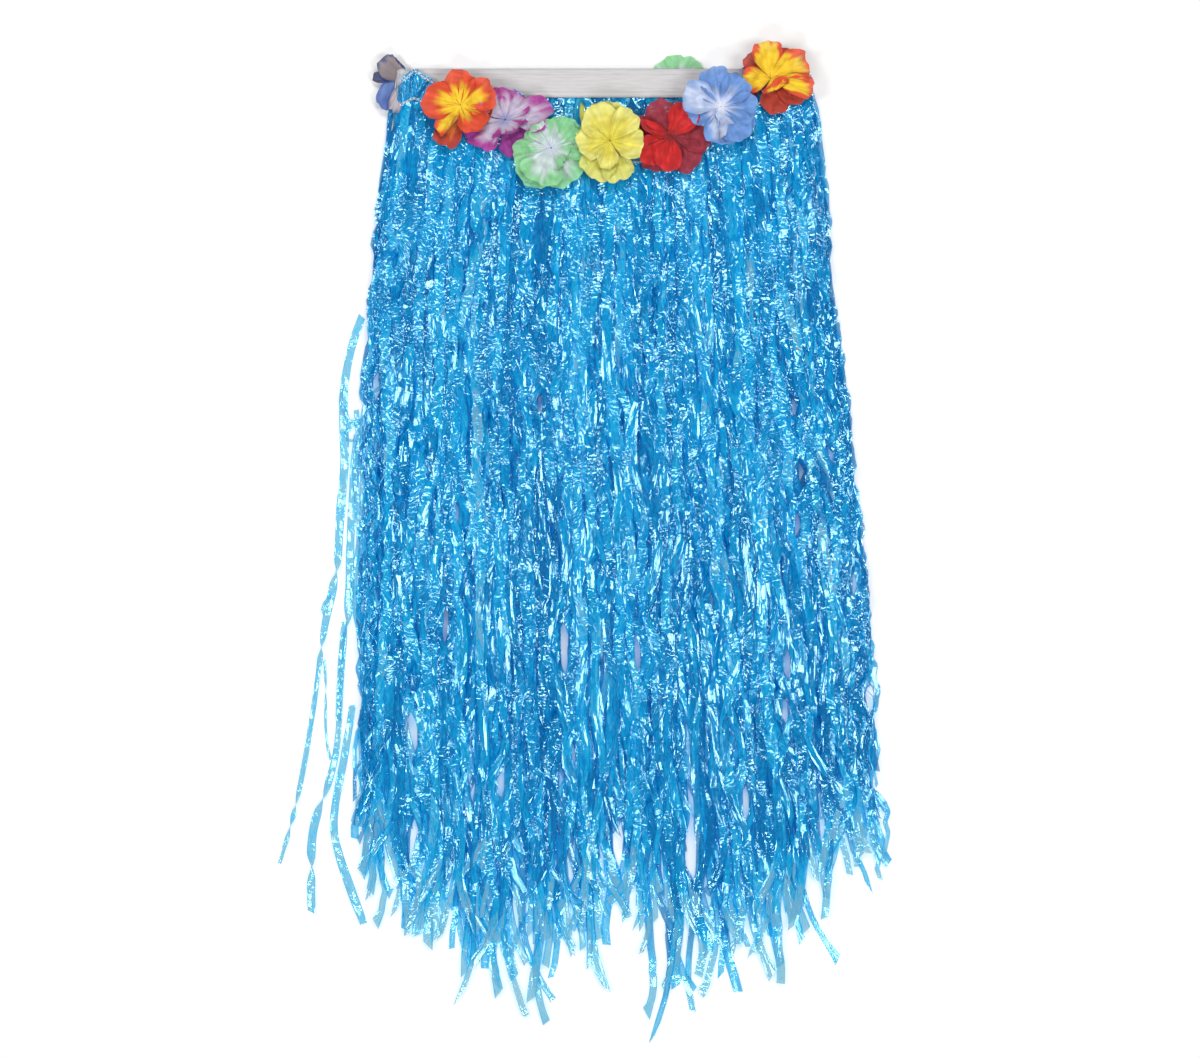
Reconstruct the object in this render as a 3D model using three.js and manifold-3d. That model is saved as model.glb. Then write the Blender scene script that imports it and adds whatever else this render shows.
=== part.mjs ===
// A hula skirt of plastic raffia, laid flat on a surface. From the surface up: the flowers on the
// back, the back half of the fringe, the elastic waistband folded in two, the front half of the
// fringe, and the flowers on the front. X runs across the skirt, +Y towards the waist, +Z up, mm.
import * as THREE from 'three';
import { mergeVertices } from 'three/addons/utils/BufferGeometryUtils.js';
import Module from 'manifold-3d';

const wasm = await Module();
wasm.setup();

// ---- Driving dimensions ----
const GAP = 0.3; // between pieces that touch
const DRAPE_GAP = 0.8; // between the two halves of the fringe, whose facets differ
const HEM_GAP = 0.8; // added to it at the hem, where the locks of both halves start
const BAND_WIDTH = 25;
const BAND_THICK = 1.2;
const BAND_ENDS = { left: -163, right: 187 };
const BAND_FOLD = 2.5; // how much the fold at each end of the flattened ring takes up
const BACK_HEAD = 413; // the back heading's top edge
const BACK_BAND_Y = 402.8; // middle of the band's back stretch
const FOLD_WIDTH = 20; // the fold at each end of the ring, a little narrower than the band
const FRONT_BEND = { left: 5, right: 8 }; // where the front stretch starts to bend, in from its ends
const HEADING_OVER = 1; // how far the front heading's edge stands above the band's
const HEAD_THICK = 2.4;
const TIP_THICK = 1.8;
const FRONT_INSET = 3; // the front half is this much narrower at each side
const LOCK_SIDE = 1.2; // how far a lock's side leans out where it joins the hem
const LOCK_SLANT = 3; // how much lower one corner of a lock's cut tip is
const HEM_STRETCH = 16; // the widest run of hem between two locks with no point in its middle
const STRAND_THICK = 1.2;
const PETAL_THICK = 1.0;
const PETALS = 5;
const PETAL_POINTS = 4;
const LOBE = [0.66, 0.94, 1.0, 0.94]; // a petal's reach from one notch to the next
const THROAT = 0.45; // the sewn middle's share of a flower's radius
const CUP = 6; // how far the upper petals lift at their rims
const UPPER_SHARE = 0.82; // the upper petals' radius beside the lower ones'
const LEVEL_STEP = 2.8; // one flower's two layers, where a neighbour lies over them
const NEIGHBOUR_CLEAR = 4; // a petal starts to lift this far out from a neighbour that lies over it
const NEIGHBOUR_EASE = 12; // and lifts freely this much further out
const BACK_RAISED = 2.8; // the back heading's underside, on the flowers pressed flat under it
const FRONT_BAND_Z = 8.6; // the underside of the band's front stretch

// Long ridges where the strands of the front half bunch.
const RIDGE_HIGH = 0.9;
const RIDGE_WIDTHS = { main: 39, second: 65 };
const RIDGE_SECOND = 0.6; // the second ridges' height beside the main ones'
const RIDGE_SWAY = 6; // how far they wander to the side
const RIDGE_WANDERS = 9; // and how fast, in radians from heading to hem
const RIDGE_START = 0.12; // none above this share of the way down
const RIDGE_FADE = 0.15; // they rise and fade over this share

// Finishes: plastic film seen single, double and in the stack, woven elastic, and printed cloth.
const FINISHES = {
  film_front: { color: 0x1c8dd3, roughness: 0.25 },
  film_back: { color: 0x1482c8, roughness: 0.25 },
  film_single: { color: 0x7cc0e4, roughness: 0.25 },
  elastic: { color: 0xe2dedb, roughness: 0.9 },
};
const PETAL_ROUGHNESS = 0.85;

// The fringe's sides, from the waist down.
const SIDES = [
  { y: 416, left: -166, right: 192 },
  { y: 373, left: -172, right: 198 },
  { y: 308, left: -182, right: 209 },
  { y: 243, left: -191, right: 214 },
  { y: 180, left: -197, right: 216 },
  { y: 90, left: -198, right: 229 },
  { y: 0, left: -199, right: 242 },
  { y: -90, left: -202, right: 249 },
  { y: -170, left: -204, right: 256 },
  { y: -240, left: -203, right: 263 },
  { y: -300, left: -202, right: 268 },
];

// The front's top edge hangs in a curve below the band's back stretch.
const FRONT_HEAD = [
  { x: -170, y: 400 },
  { x: -158, y: 416 },
  { x: -127, y: 399 },
  { x: -60, y: 396 },
  { x: -45, y: 378 },
  { x: -24, y: 360 },
  { x: 0, y: 354 },
  { x: 24, y: 353 },
  { x: 48, y: 358 },
  { x: 72, y: 369 },
  { x: 119, y: 393 },
  { x: 140, y: 404 },
  { x: 163, y: 415 },
  { x: 182, y: 416 },
  { x: 196, y: 398 },
];

// Where the fringe stops being dense.
const HEM = [
  { x: -204, y: -305 },
  { x: -161, y: -323 },
  { x: -127, y: -340 },
  { x: -75, y: -360 },
  { x: -22, y: -345 },
  { x: 39, y: -314 },
  { x: 65, y: -338 },
  { x: 100, y: -358 },
  { x: 169, y: -338 },
  { x: 230, y: -292 },
  { x: 268, y: -268 },
];

// Locks of strands that reach below the dense hem.
const BACK_LOCKS = [
  { x: -161, tip: -345, width: 9 },
  { x: -112, tip: -372, width: 9 },
  { x: -88, tip: -391, width: 8 },
  { x: -56, tip: -398, width: 9 },
  { x: -22, tip: -385, width: 9 },
  { x: 23, tip: -352, width: 9 },
  { x: 65, tip: -437, width: 8 },
  { x: 88, tip: -407, width: 9 },
  { x: 121, tip: -396, width: 9 },
  { x: 157, tip: -372, width: 8 },
  { x: 188, tip: -367, width: 9 },
  { x: 232, tip: -307, width: 9 },
  { x: 264, tip: -299, width: 8 },
];
const FRONT_LOCKS = [
  { x: -179, tip: -337, width: 8 },
  { x: -135, tip: -356, width: 10 },
  { x: -100, tip: -402, width: 10 },
  { x: -73, tip: -415, width: 9 },
  { x: -40, tip: -417, width: 10 },
  { x: 2, tip: -393, width: 10 },
  { x: 50, tip: -360, width: 9 },
  { x: 77, tip: -390, width: 8 },
  { x: 106, tip: -401, width: 10 },
  { x: 141, tip: -380, width: 9 },
  { x: 171, tip: -385, width: 9 },
  { x: 213, tip: -333, width: 10 },
  { x: 249, tip: -290, width: 9 },
];

// Heights along each half, by the share of the way from the heading to the dense hem.
const BACK_LAYER = [
  { at: 0, under: BACK_RAISED, thick: HEAD_THICK },
  { at: 0.038, under: BACK_RAISED, thick: HEAD_THICK },
  { at: 0.08, under: BACK_RAISED, thick: 4.9 },
  { at: 0.15, under: 0, thick: 7.7 },
  { at: 0.26, under: 0, thick: 9 },
  { at: 0.6, under: 0, thick: 9 },
  { at: 0.82, under: 0, thick: 6 },
  { at: 1, under: 0, thick: TIP_THICK },
];
const FRONT_LAYER = [
  { at: 0, thick: HEAD_THICK },
  { at: 0.04, thick: 4 },
  { at: 0.1, thick: 7.2 },
  { at: 0.18, thick: 9.5 },
  { at: 0.55, thick: 10 },
  { at: 0.78, thick: 8 },
  { at: 0.91, thick: 4.5 },
  { at: 1, thick: TIP_THICK },
];
const EDGE_SHARE = 0.07; // the outer strip of each half that thins towards its side
const EDGE_THICK = 0.35; // how much of its thickness is left there

const BACK_ROWS = [0, 0.038, 0.08, 0.15, 0.26, 0.37, 0.48, 0.6, 0.71, 0.82, 0.91, 1];
const BACK_UNDER_ROWS = [0, 2, 3, 4, 6, 9, 11];
const FRONT_ROWS = [0, 0.04, 0.1, 0.18, 0.28, 0.38, 0.48, 0.58, 0.68, 0.78, 0.9, 1];
const FRONT_UNDER_ROWS = [0, 1, 2, 3, 4, 5, 7, 9, 10, 11];

// Flowers on the front and back: where each is sewn, its radius, how it is turned, and its level
// among the neighbours that it overlaps.
const FRONT_FLOWERS = [
  { name: '01', x: -111, y: 383, radius: 33, turn: 18, level: 1, colour: 0xe9501c },
  { name: '02', x: -72, y: 365, radius: 32, turn: 40, level: 0, colour: 0xa8439f },
  { name: '03', x: -31, y: 338, radius: 31, turn: 8, level: 1, colour: 0x9fe3a4 },
  { name: '04', x: 22, y: 342, radius: 32, turn: 55, level: 2, colour: 0xe6da3e },
  { name: '05', x: 72, y: 359, radius: 32, turn: 20, level: 1, colour: 0xc61c1c },
  { name: '06', x: 117, y: 380, radius: 32, turn: 62, level: 0, colour: 0x7fa6e0 },
  { name: '07', x: 161, y: 404, radius: 32, turn: 22, level: 1, colour: 0xe9701c },
];
const BACK_FLOWERS = [
  { name: '08', x: 150, y: 397, radius: 27.5, turn: 20, colour: 0xa8439f },
  { name: '09', x: 78, y: 397, radius: 27.5, turn: 50, colour: 0x9fe3a4 },
  { name: '10', x: 2, y: 384, radius: 27.5, turn: 10, colour: 0xe6da3e },
  { name: '11', x: -80, y: 384, radius: 27.5, turn: 35, colour: 0xc61c1c },
];
const SIDE_FLOWER = { name: '12', y: 401, z: 11.3, radius: 26, turn: 10, lean: -20, colour: 0x5f82c4 };
const SIDE_SLOPE = 0.4; // how steeply the side flower's petals run back from its mouth
const SIDE_SQUASH = 0.34; // its height beside its width, pressed between fringe and surface

// Strands that lie out to the left of the fringe, each from where it leaves the fringe to its tip.
const STRANDS = {
  strand_outer: [
    { x: -197.5, y: 200, width: 6 },
    { x: -208, y: 172, width: 6 },
    { x: -213, y: 148, width: 6 },
    { x: -215, y: 117, width: 7 },
    { x: -212, y: 70, width: 7 },
    { x: -218, y: 25, width: 7 },
    { x: -217, y: 3, width: 6 },
    { x: -222, y: -40, width: 7 },
    { x: -230, y: -62, width: 6 },
    { x: -235, y: -105, width: 4 },
    { x: -241, y: -149, width: 4 },
    { x: -248, y: -192, width: 4 },
    { x: -257, y: -236, width: 4 },
    { x: -270.5, y: -282, width: 3 },
  ],
  strand_thread: [
    { x: -230.9, y: -100, width: 2 },
    { x: -229, y: -136, width: 2 },
    { x: -231, y: -170, width: 2 },
    { x: -224.7, y: -191, width: 2 },
  ],
  strand_crinkled: [
    { x: -201.1, y: 98, width: 7 },
    { x: -204, y: 78, width: 7 },
    { x: -205, y: 47, width: 7 },
    { x: -208.5, y: 3, width: 6 },
    { x: -208, y: -50, width: 8 },
    { x: -215, y: -90, width: 5 },
    { x: -217, y: -140, width: 4 },
    { x: -220, y: -190, width: 5 },
    { x: -231, y: -218, width: 7 },
    { x: -243, y: -255, width: 7 },
    { x: -242, y: -325, width: 6 },
  ],
  strand_low: [
    { x: -206.5, y: -140, width: 6 },
    { x: -211, y: -175, width: 6 },
    { x: -218, y: -212, width: 6 },
    { x: -224.5, y: -240, width: 6 },
    { x: -222, y: -262, width: 6 },
    { x: -209, y: -300, width: 7 },
    { x: -196, y: -334, width: 6 },
  ],
};

// ---- Reading the tables ----
const mix = (a, b, t) => a + (b - a) * t;
const clamp = (value, low, high) => Math.min(high, Math.max(low, value));

// The named column of a table at a place along its key, straight between rows.
function readTable(table, key, place, column) {
  const rising = table[1][key] > table[0][key];
  const ordered = rising ? table : [...table].reverse();
  const last = ordered.length - 1;
  if (place <= ordered[0][key]) return ordered[0][column];
  if (place >= ordered[last][key]) return ordered[last][column];
  const i = ordered.findIndex((row) => row[key] >= place);
  const t = (place - ordered[i - 1][key]) / (ordered[i][key] - ordered[i - 1][key]);
  return mix(ordered[i - 1][column], ordered[i][column], t);
}

const leftSide = (y) => readTable(SIDES, 'y', y, 'left');
const rightSide = (y) => readTable(SIDES, 'y', y, 'right');
const hemAt = (x) => readTable(HEM, 'x', x, 'y');
const frontHeadAt = (x) => readTable(FRONT_HEAD, 'x', x, 'y');

// ---- Heights of the layers ----
// How much of its thickness a half keeps at this share of its width.
function edgeShare(across) {
  const inward = clamp(Math.min(across, 1 - across) / EDGE_SHARE, 0, 1);
  return mix(EDGE_THICK, 1, inward);
}

const acrossAt = (x, y) => (x - leftSide(y)) / (rightSide(y) - leftSide(y));

// The share of the way down the back half, from its heading to the dense hem.
const downBack = (x, y) => (BACK_HEAD - y) / (BACK_HEAD - hemAt(x));

const backUnder = (x, y) => readTable(BACK_LAYER, 'at', downBack(x, y), 'under');

function backTop(x, y) {
  const thick = readTable(BACK_LAYER, 'at', downBack(x, y), 'thick');
  return backUnder(x, y) + Math.max(TIP_THICK, thick * edgeShare(acrossAt(x, y)));
}

const BACK_BAND_Z = BACK_RAISED + HEAD_THICK + GAP;
const FRONT_HEAD_Z = FRONT_BAND_Z + BAND_THICK + GAP;
const HEADING_DEPTH = 30; // the heading lies level on the band this far down
const HEADING_RUN = 30; // and comes down onto the back over this much more
const HEM_START = 0.85; // the share of the way down where the halves part for their locks
const HEM_RUN = 0.1;

function frontUnder(x, y) {
  const below = frontHeadAt(x) - y;
  const leaving = clamp((below - HEADING_DEPTH) / HEADING_RUN, 0, 1);
  const nearHem = clamp((downBack(x, y) - HEM_START) / HEM_RUN, 0, 1);
  const resting = backTop(x, y) + DRAPE_GAP + HEM_GAP * nearHem;
  return Math.max(resting, mix(FRONT_HEAD_Z, resting, leaving));
}

function frontTop(x, y) {
  const head = frontHeadAt(x);
  const down = clamp((head - y) / (head - hemAt(x)), 0, 1);
  const thick = readTable(FRONT_LAYER, 'at', down, 'thick');
  return frontUnder(x, y) + Math.max(TIP_THICK, thick * edgeShare(acrossAt(x, y)));
}

// The height of the ridges at a place, with none at the heading and the tips.
function ridge(x, down) {
  const fade = clamp((down - RIDGE_START) / RIDGE_FADE, 0, 1) * clamp((1 - down) / RIDGE_FADE, 0, 1);
  const swayed = x + RIDGE_SWAY * Math.sin(down * RIDGE_WANDERS);
  const main = Math.sin((swayed / RIDGE_WIDTHS.main) * 2 * Math.PI);
  const second = Math.cos((x / RIDGE_WIDTHS.second) * 2 * Math.PI);
  return RIDGE_HIGH * fade * (main + RIDGE_SECOND * second);
}

// ---- Solids ----
function geometryOf(positions, index) {
  const geometry = new THREE.BufferGeometry();
  geometry.setAttribute('position', new THREE.Float32BufferAttribute(positions, 3));
  geometry.setIndex(index);
  return geometry;
}

// Each lock has two columns at its tip and one at the hem on each side of it. Wide stretches of
// hem between locks get one more column in their middle.
function fringeColumns(locks, left, right) {
  const columns = [];
  const addHem = (x) => columns.push({ x, foot: hemAt(x) });
  addHem(left);
  for (const lock of locks) {
    const edge = lock.x - lock.width / 2;
    const before = columns[columns.length - 1].x;
    if (edge - LOCK_SIDE - before > HEM_STRETCH) addHem((edge - LOCK_SIDE + before) / 2);
    if (edge - LOCK_SIDE > before) addHem(edge - LOCK_SIDE);
    columns.push({ x: edge, foot: lock.tip });
    columns.push({ x: edge + lock.width, foot: lock.tip - LOCK_SLANT });
    const after = edge + lock.width + LOCK_SIDE;
    if (after < right) addHem(after);
  }
  if (right - columns[columns.length - 1].x > 1) addHem(right);
  const low = columns[0].x;
  const high = columns[columns.length - 1].x;
  return columns.map((column) => ({ across: (column.x - low) / (high - low), foot: column.foot }));
}

// The closed solid of one half of the fringe: its upper face has every row, and its lower face
// the rows named in underRows.
function fringeGeometry({ columns, rows, underRows, headAt, inset, underAt, topAt }) {
  const place = (across, y) => {
    const left = leftSide(y) + inset;
    return mix(left, rightSide(y) - inset, across);
  };
  const points = rows.map((down) =>
    columns.map(({ across, foot }) => {
      const head = headAt(across);
      const y = mix(head, foot, down);
      return { x: place(across, y), y };
    })
  );
  const positions = [];
  const addVertex = (x, y, z) => positions.push(x, y, z) / 3 - 1;
  const upper = points.map((row, r) => row.map(({ x, y }) => addVertex(x, y, topAt(x, y, rows[r]))));
  const lower = underRows.map((r) => points[r].map(({ x, y }) => addVertex(x, y, underAt(x, y))));

  const index = [];
  const addQuad = (a, b, c, d) => index.push(a, b, c, a, c, d);
  const last = columns.length - 1;
  for (let c = 0; c < last; c++) {
    for (let r = 0; r < upper.length - 1; r++) {
      addQuad(upper[r][c], upper[r + 1][c], upper[r + 1][c + 1], upper[r][c + 1]);
    }
    for (let r = 0; r < lower.length - 1; r++) {
      addQuad(lower[r][c], lower[r][c + 1], lower[r + 1][c + 1], lower[r + 1][c]);
    }
    const foot = upper.length - 1;
    const base = lower.length - 1;
    addQuad(lower[base][c], lower[base][c + 1], upper[foot][c + 1], upper[foot][c]);
    addQuad(lower[0][c + 1], lower[0][c], upper[0][c], upper[0][c + 1]);
  }
  // The side walls join every upper row to the fewer lower rows.
  let below = 0;
  for (let r = 0; r < upper.length - 1; r++) {
    index.push(lower[below][0], upper[r + 1][0], upper[r][0]);
    index.push(lower[below][last], upper[r][last], upper[r + 1][last]);
    if (underRows[below + 1] === r + 1) {
      index.push(lower[below][0], lower[below + 1][0], upper[r + 1][0]);
      index.push(lower[below][last], upper[r + 1][last], lower[below + 1][last]);
      below += 1;
    }
  }
  return geometryOf(positions, index);
}

// The outline of a flat strip along a route, each row with its width there.
function stripShape(route) {
  const sides = route.map((row, i) => {
    const before = route[Math.max(0, i - 1)];
    const after = route[Math.min(route.length - 1, i + 1)];
    const along = new THREE.Vector2(after.x - before.x, after.y - before.y).normalize();
    const out = new THREE.Vector2(along.y, -along.x).multiplyScalar(row.width / 2);
    const middle = new THREE.Vector2(row.x, row.y);
    return { right: middle.clone().add(out), left: middle.clone().sub(out) };
  });
  return new THREE.Shape([...sides.map((s) => s.right), ...sides.map((s) => s.left).reverse()]);
}

function flatSolid(shape, thick, z) {
  const geometry = new THREE.ExtrudeGeometry(shape, { depth: thick, bevelEnabled: false });
  return geometry.translate(0, 0, z);
}

// One layer of petals. pointAt turns a place on the flat petal cloth, and a side of the cloth
// (0 under, 1 upper), into a point in space.
function petalGeometry(radius, turn, pointAt) {
  const count = PETALS * PETAL_POINTS;
  const positions = [];
  const addVertex = (x, y, side) => positions.push(...pointAt(x, y, side)) / 3 - 1;
  const faces = [0, 1].map((side) => {
    const middle = addVertex(0, 0, side);
    const rings = [THROAT, 1].map((share) =>
      Array.from({ length: count }, (_, i) => {
        const angle = ((i / count) * 360 + turn) * THREE.MathUtils.DEG2RAD;
        const lobe = share < 1 ? share : LOBE[i % PETAL_POINTS];
        return addVertex(radius * lobe * Math.cos(angle), radius * lobe * Math.sin(angle), side);
      })
    );
    return { middle, rings };
  });
  const [under, upper] = faces;
  const index = [];
  for (let i = 0; i < count; i++) {
    const j = (i + 1) % count;
    index.push(upper.middle, upper.rings[0][i], upper.rings[0][j]);
    index.push(under.middle, under.rings[0][j], under.rings[0][i]);
    index.push(upper.rings[0][i], upper.rings[1][i], upper.rings[1][j]);
    index.push(upper.rings[0][i], upper.rings[1][j], upper.rings[0][j]);
    index.push(under.rings[0][i], under.rings[1][j], under.rings[1][i]);
    index.push(under.rings[0][i], under.rings[0][j], under.rings[1][j]);
    index.push(under.rings[1][i], under.rings[1][j], upper.rings[1][j]);
    index.push(under.rings[1][i], upper.rings[1][j], upper.rings[1][i]);
  }
  return geometryOf(positions, index);
}

function manifoldOf(geometry) {
  const bare = new THREE.BufferGeometry();
  bare.setAttribute('position', geometry.getAttribute('position'));
  bare.setIndex(geometry.getIndex());
  const merged = mergeVertices(bare, 1e-4);
  const vertProperties = new Float32Array(merged.getAttribute('position').array);
  const triVerts = new Uint32Array(merged.getIndex().array);
  return new wasm.Manifold(new wasm.Mesh({ numProp: 3, vertProperties, triVerts }));
}

function joinSolids(geometries) {
  const joined = geometries.map(manifoldOf).reduce((a, b) => a.add(b)).getMesh();
  return geometryOf(Array.from(joined.vertProperties), Array.from(joined.triVerts));
}

// ---- The pieces ----
const skirt = new THREE.Group();

function addPiece(name, geometry, finish) {
  geometry.computeVertexNormals();
  const material = new THREE.MeshStandardMaterial({ ...finish, metalness: 0 });
  const mesh = new THREE.Mesh(geometry, material);
  mesh.name = name;
  skirt.add(mesh);
}

function addBand() {
  const { left, right } = BAND_ENDS;
  const backRoute = [left, right].map((x) => ({ x, y: BACK_BAND_Y, width: BAND_WIDTH }));
  const inner = FRONT_HEAD.filter(({ x }) => x > left + FRONT_BEND.left && x < right - FRONT_BEND.right);
  const frontRoute = [
    { x: left, y: BACK_BAND_Y, width: BAND_WIDTH },
    ...inner.map(({ x, y }) => ({ x, y: y - BAND_WIDTH / 2 - HEADING_OVER, width: BAND_WIDTH })),
    { x: right, y: BACK_BAND_Y, width: BAND_WIDTH },
  ];
  const foldHeight = FRONT_BAND_Z + BAND_THICK - BACK_BAND_Z;
  const folds = [left, right - BAND_FOLD].map((x) => {
    const middle = x + BAND_FOLD / 2;
    const reach = [-BAND_FOLD / 2, BAND_FOLD / 2];
    const ends = reach.map((out) => ({ x: middle + out, y: BACK_BAND_Y, width: FOLD_WIDTH }));
    return flatSolid(stripShape(ends), foldHeight, BACK_BAND_Z);
  });
  const stretches = [
    flatSolid(stripShape(backRoute), BAND_THICK, BACK_BAND_Z),
    flatSolid(stripShape(frontRoute), BAND_THICK, FRONT_BAND_Z),
  ];
  addPiece('elastic_band', joinSolids([...stretches, ...folds]), FINISHES.elastic);
}

function addFringe() {
  const { left: hemLeft, right: hemRight } = SIDES[SIDES.length - 1];
  const headLeft = leftSide(BACK_HEAD);
  const headRight = rightSide(BACK_HEAD);
  addPiece(
    'fringe_back',
    fringeGeometry({
      columns: fringeColumns(BACK_LOCKS, hemLeft, hemRight),
      rows: BACK_ROWS,
      underRows: BACK_UNDER_ROWS,
      headAt: () => BACK_HEAD,
      inset: 0,
      underAt: backUnder,
      topAt: backTop,
    }),
    FINISHES.film_back
  );
  addPiece(
    'fringe_front',
    fringeGeometry({
      columns: fringeColumns(FRONT_LOCKS, hemLeft + FRONT_INSET, hemRight - FRONT_INSET),
      rows: FRONT_ROWS,
      underRows: FRONT_UNDER_ROWS,
      headAt: (across) => frontHeadAt(mix(headLeft, headRight, across)),
      inset: FRONT_INSET,
      underAt: frontUnder,
      topAt: (x, y, down) => frontTop(x, y) + ridge(x, down),
    }),
    FINISHES.film_front
  );
  for (const [name, route] of Object.entries(STRANDS)) {
    addPiece(name, flatSolid(stripShape(route), STRAND_THICK, 0), FINISHES.film_single);
  }
}

// How free a petal is to lift, from 0 under a neighbour that lies over it to 1 clear of all.
function freedom(flower, x, y) {
  const over = FRONT_FLOWERS.filter((other) => other.level > flower.level);
  const rooms = over.map((other) => {
    const clear = Math.hypot(x - other.x, y - other.y) - other.radius - NEIGHBOUR_CLEAR;
    return clear / NEIGHBOUR_EASE;
  });
  return clamp(Math.min(1, ...rooms), 0, 1);
}

// A flower's two layers, the upper one turned by half a petal against the lower.
function addFlower({ name, radius, turn, colour }, lowerAt, upperAt) {
  const finish = { color: colour, roughness: PETAL_ROUGHNESS };
  addPiece(`flower_${name}_lower`, petalGeometry(radius, turn, lowerAt), finish);
  const upperTurn = turn + 180 / PETALS;
  addPiece(`flower_${name}_upper`, petalGeometry(radius * UPPER_SHARE, upperTurn, upperAt), finish);
}

function addFrontFlower(flower) {
  const { x: cx, y: cy, radius, level } = flower;
  const lying = (dx, dy) => {
    const risen = clamp(Math.hypot(dx, dy) / (radius * THROAT), 0, 1);
    return frontTop(cx + dx, cy + dy) + DRAPE_GAP + level * LEVEL_STEP * risen;
  };
  const lowerAt = (dx, dy, side) => [cx + dx, cy + dy, lying(dx, dy) + side * PETAL_THICK];
  const upperAt = (dx, dy, side) => {
    const out = Math.hypot(dx, dy) / (radius * UPPER_SHARE);
    const lift = CUP * out * out * freedom(flower, cx + dx, cy + dy);
    const floor = lying(dx, dy) + PETAL_THICK + GAP;
    return [cx + dx, cy + dy, floor + lift + side * PETAL_THICK];
  };
  addFlower(flower, lowerAt, upperAt);
}

// The flowers on the back are pressed flat, face down, between the fringe and the surface.
function addBackFlower(flower) {
  const flat = (z) => (dx, dy, side) => [flower.x + dx, flower.y + dy, z + side * PETAL_THICK];
  addFlower(flower, flat(PETAL_THICK + GAP), flat(0));
}

// The flower at the left fold opens sideways, its petals pressed into a flat trumpet.
function addSideFlower(flower) {
  const angle = flower.lean * THREE.MathUtils.DEG2RAD;
  const outward = new THREE.Vector3(-Math.cos(angle), -Math.sin(angle), 0);
  const upward = new THREE.Vector3(-Math.sin(angle), Math.cos(angle), 0);
  const seat = new THREE.Vector3(leftSide(flower.y) + FRONT_INSET - 2 * GAP, flower.y, flower.z);
  const trumpet = (start) => (dx, dy, side) => {
    const depth = start + SIDE_SLOPE * Math.hypot(dx, dy) + side * PETAL_THICK;
    const point = seat.clone().addScaledVector(outward, depth).addScaledVector(upward, dx);
    point.z -= SIDE_SQUASH * dy;
    return point.toArray();
  };
  addFlower(flower, trumpet(0), trumpet(PETAL_THICK + 2 * GAP));
}

addBand();
addFringe();
FRONT_FLOWERS.forEach(addFrontFlower);
BACK_FLOWERS.forEach(addBackFlower);
addSideFlower(SIDE_FLOWER);

// The origin is under the middle of the whole skirt, on the surface that it lies on.
const extent = new THREE.Box3().setFromObject(skirt);
const middle = extent.getCenter(new THREE.Vector3());
skirt.position.set(-middle.x, -middle.y, -extent.min.z);
skirt.updateMatrixWorld(true);

export default skirt;
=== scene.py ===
import math

import bmesh
import bpy
import numpy as np
from mathutils import Matrix, Vector
from mathutils.bvhtree import BVHTree


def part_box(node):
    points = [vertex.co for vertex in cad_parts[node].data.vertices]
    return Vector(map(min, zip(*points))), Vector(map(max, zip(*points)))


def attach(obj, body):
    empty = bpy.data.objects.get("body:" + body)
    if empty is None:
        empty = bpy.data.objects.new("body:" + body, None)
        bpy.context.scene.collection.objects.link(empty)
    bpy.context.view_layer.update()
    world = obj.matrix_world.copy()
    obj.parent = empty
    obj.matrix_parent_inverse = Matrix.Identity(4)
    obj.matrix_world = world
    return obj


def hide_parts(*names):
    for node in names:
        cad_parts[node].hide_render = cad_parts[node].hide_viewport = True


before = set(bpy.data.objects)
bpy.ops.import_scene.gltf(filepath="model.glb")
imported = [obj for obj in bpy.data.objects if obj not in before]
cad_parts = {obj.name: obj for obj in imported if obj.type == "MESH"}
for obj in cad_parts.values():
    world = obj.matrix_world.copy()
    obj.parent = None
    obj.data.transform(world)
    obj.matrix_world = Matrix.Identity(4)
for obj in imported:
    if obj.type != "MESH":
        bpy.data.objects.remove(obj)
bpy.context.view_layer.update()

# ---- The surface, the light and the camera ----
# The skirt lies flat on a pale table. The camera looks straight down at it, and four soft lamps
# stand round it, so that every crease of the glossy film finds one of them.
FLOOR_SIZE = 6.0
FLOOR_DROP = 0.0004
TABLE_WHITE = (0.93, 0.93, 0.93, 1)
LAMP_DISTANCE = 2.6
LAMP_RADIANCE = 14.5
WORLD_GLOW = 0.1
BACKDROP_GLOW = 0.8
VIEW_WIDTH = 1.0475
VIEW_CENTRE = (0.0126, 0.0162)
VIEW_HEIGHT = 0.012
LENS_MM = 100.0
SENSOR_MM = 36.0

scene = bpy.context.scene
scene.view_settings.view_transform = "Standard"


def added(tree, kind, values=None, feeds=None, **settings):
    """A new node: the values of its sockets, the outputs that feed them, and its settings."""
    node = tree.nodes.new("ShaderNode" + kind)
    for setting, value in settings.items():
        setattr(node, setting, value)
    for socket, value in (values or {}).items():
        node.inputs[socket].default_value = value
    for socket, source in (feeds or {}).items():
        tree.links.new(source, node.inputs[socket])
    return node


def finish(name, values):
    """A material, its node tree and its shader, with these values on the shader's own sockets."""
    material = bpy.data.materials.new(name)
    material.use_nodes = True
    shader = material.node_tree.nodes["Principled BSDF"]
    for socket, value in values.items():
        shader.inputs[socket].default_value = value
    return material, material.node_tree, shader


world = bpy.data.worlds.new("studio")
world.use_nodes = True
backdrop = world.node_tree.nodes["Background"]
backdrop.inputs["Color"].default_value = (1, 1, 1, 1)
seen = added(world.node_tree, "LightPath")
glow = added(world.node_tree, "MapRange", {"To Min": WORLD_GLOW, "To Max": BACKDROP_GLOW},
             {"Value": seen.outputs["Is Camera Ray"]})
world.node_tree.links.new(glow.outputs["Result"], backdrop.inputs["Strength"])
scene.world = world

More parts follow.
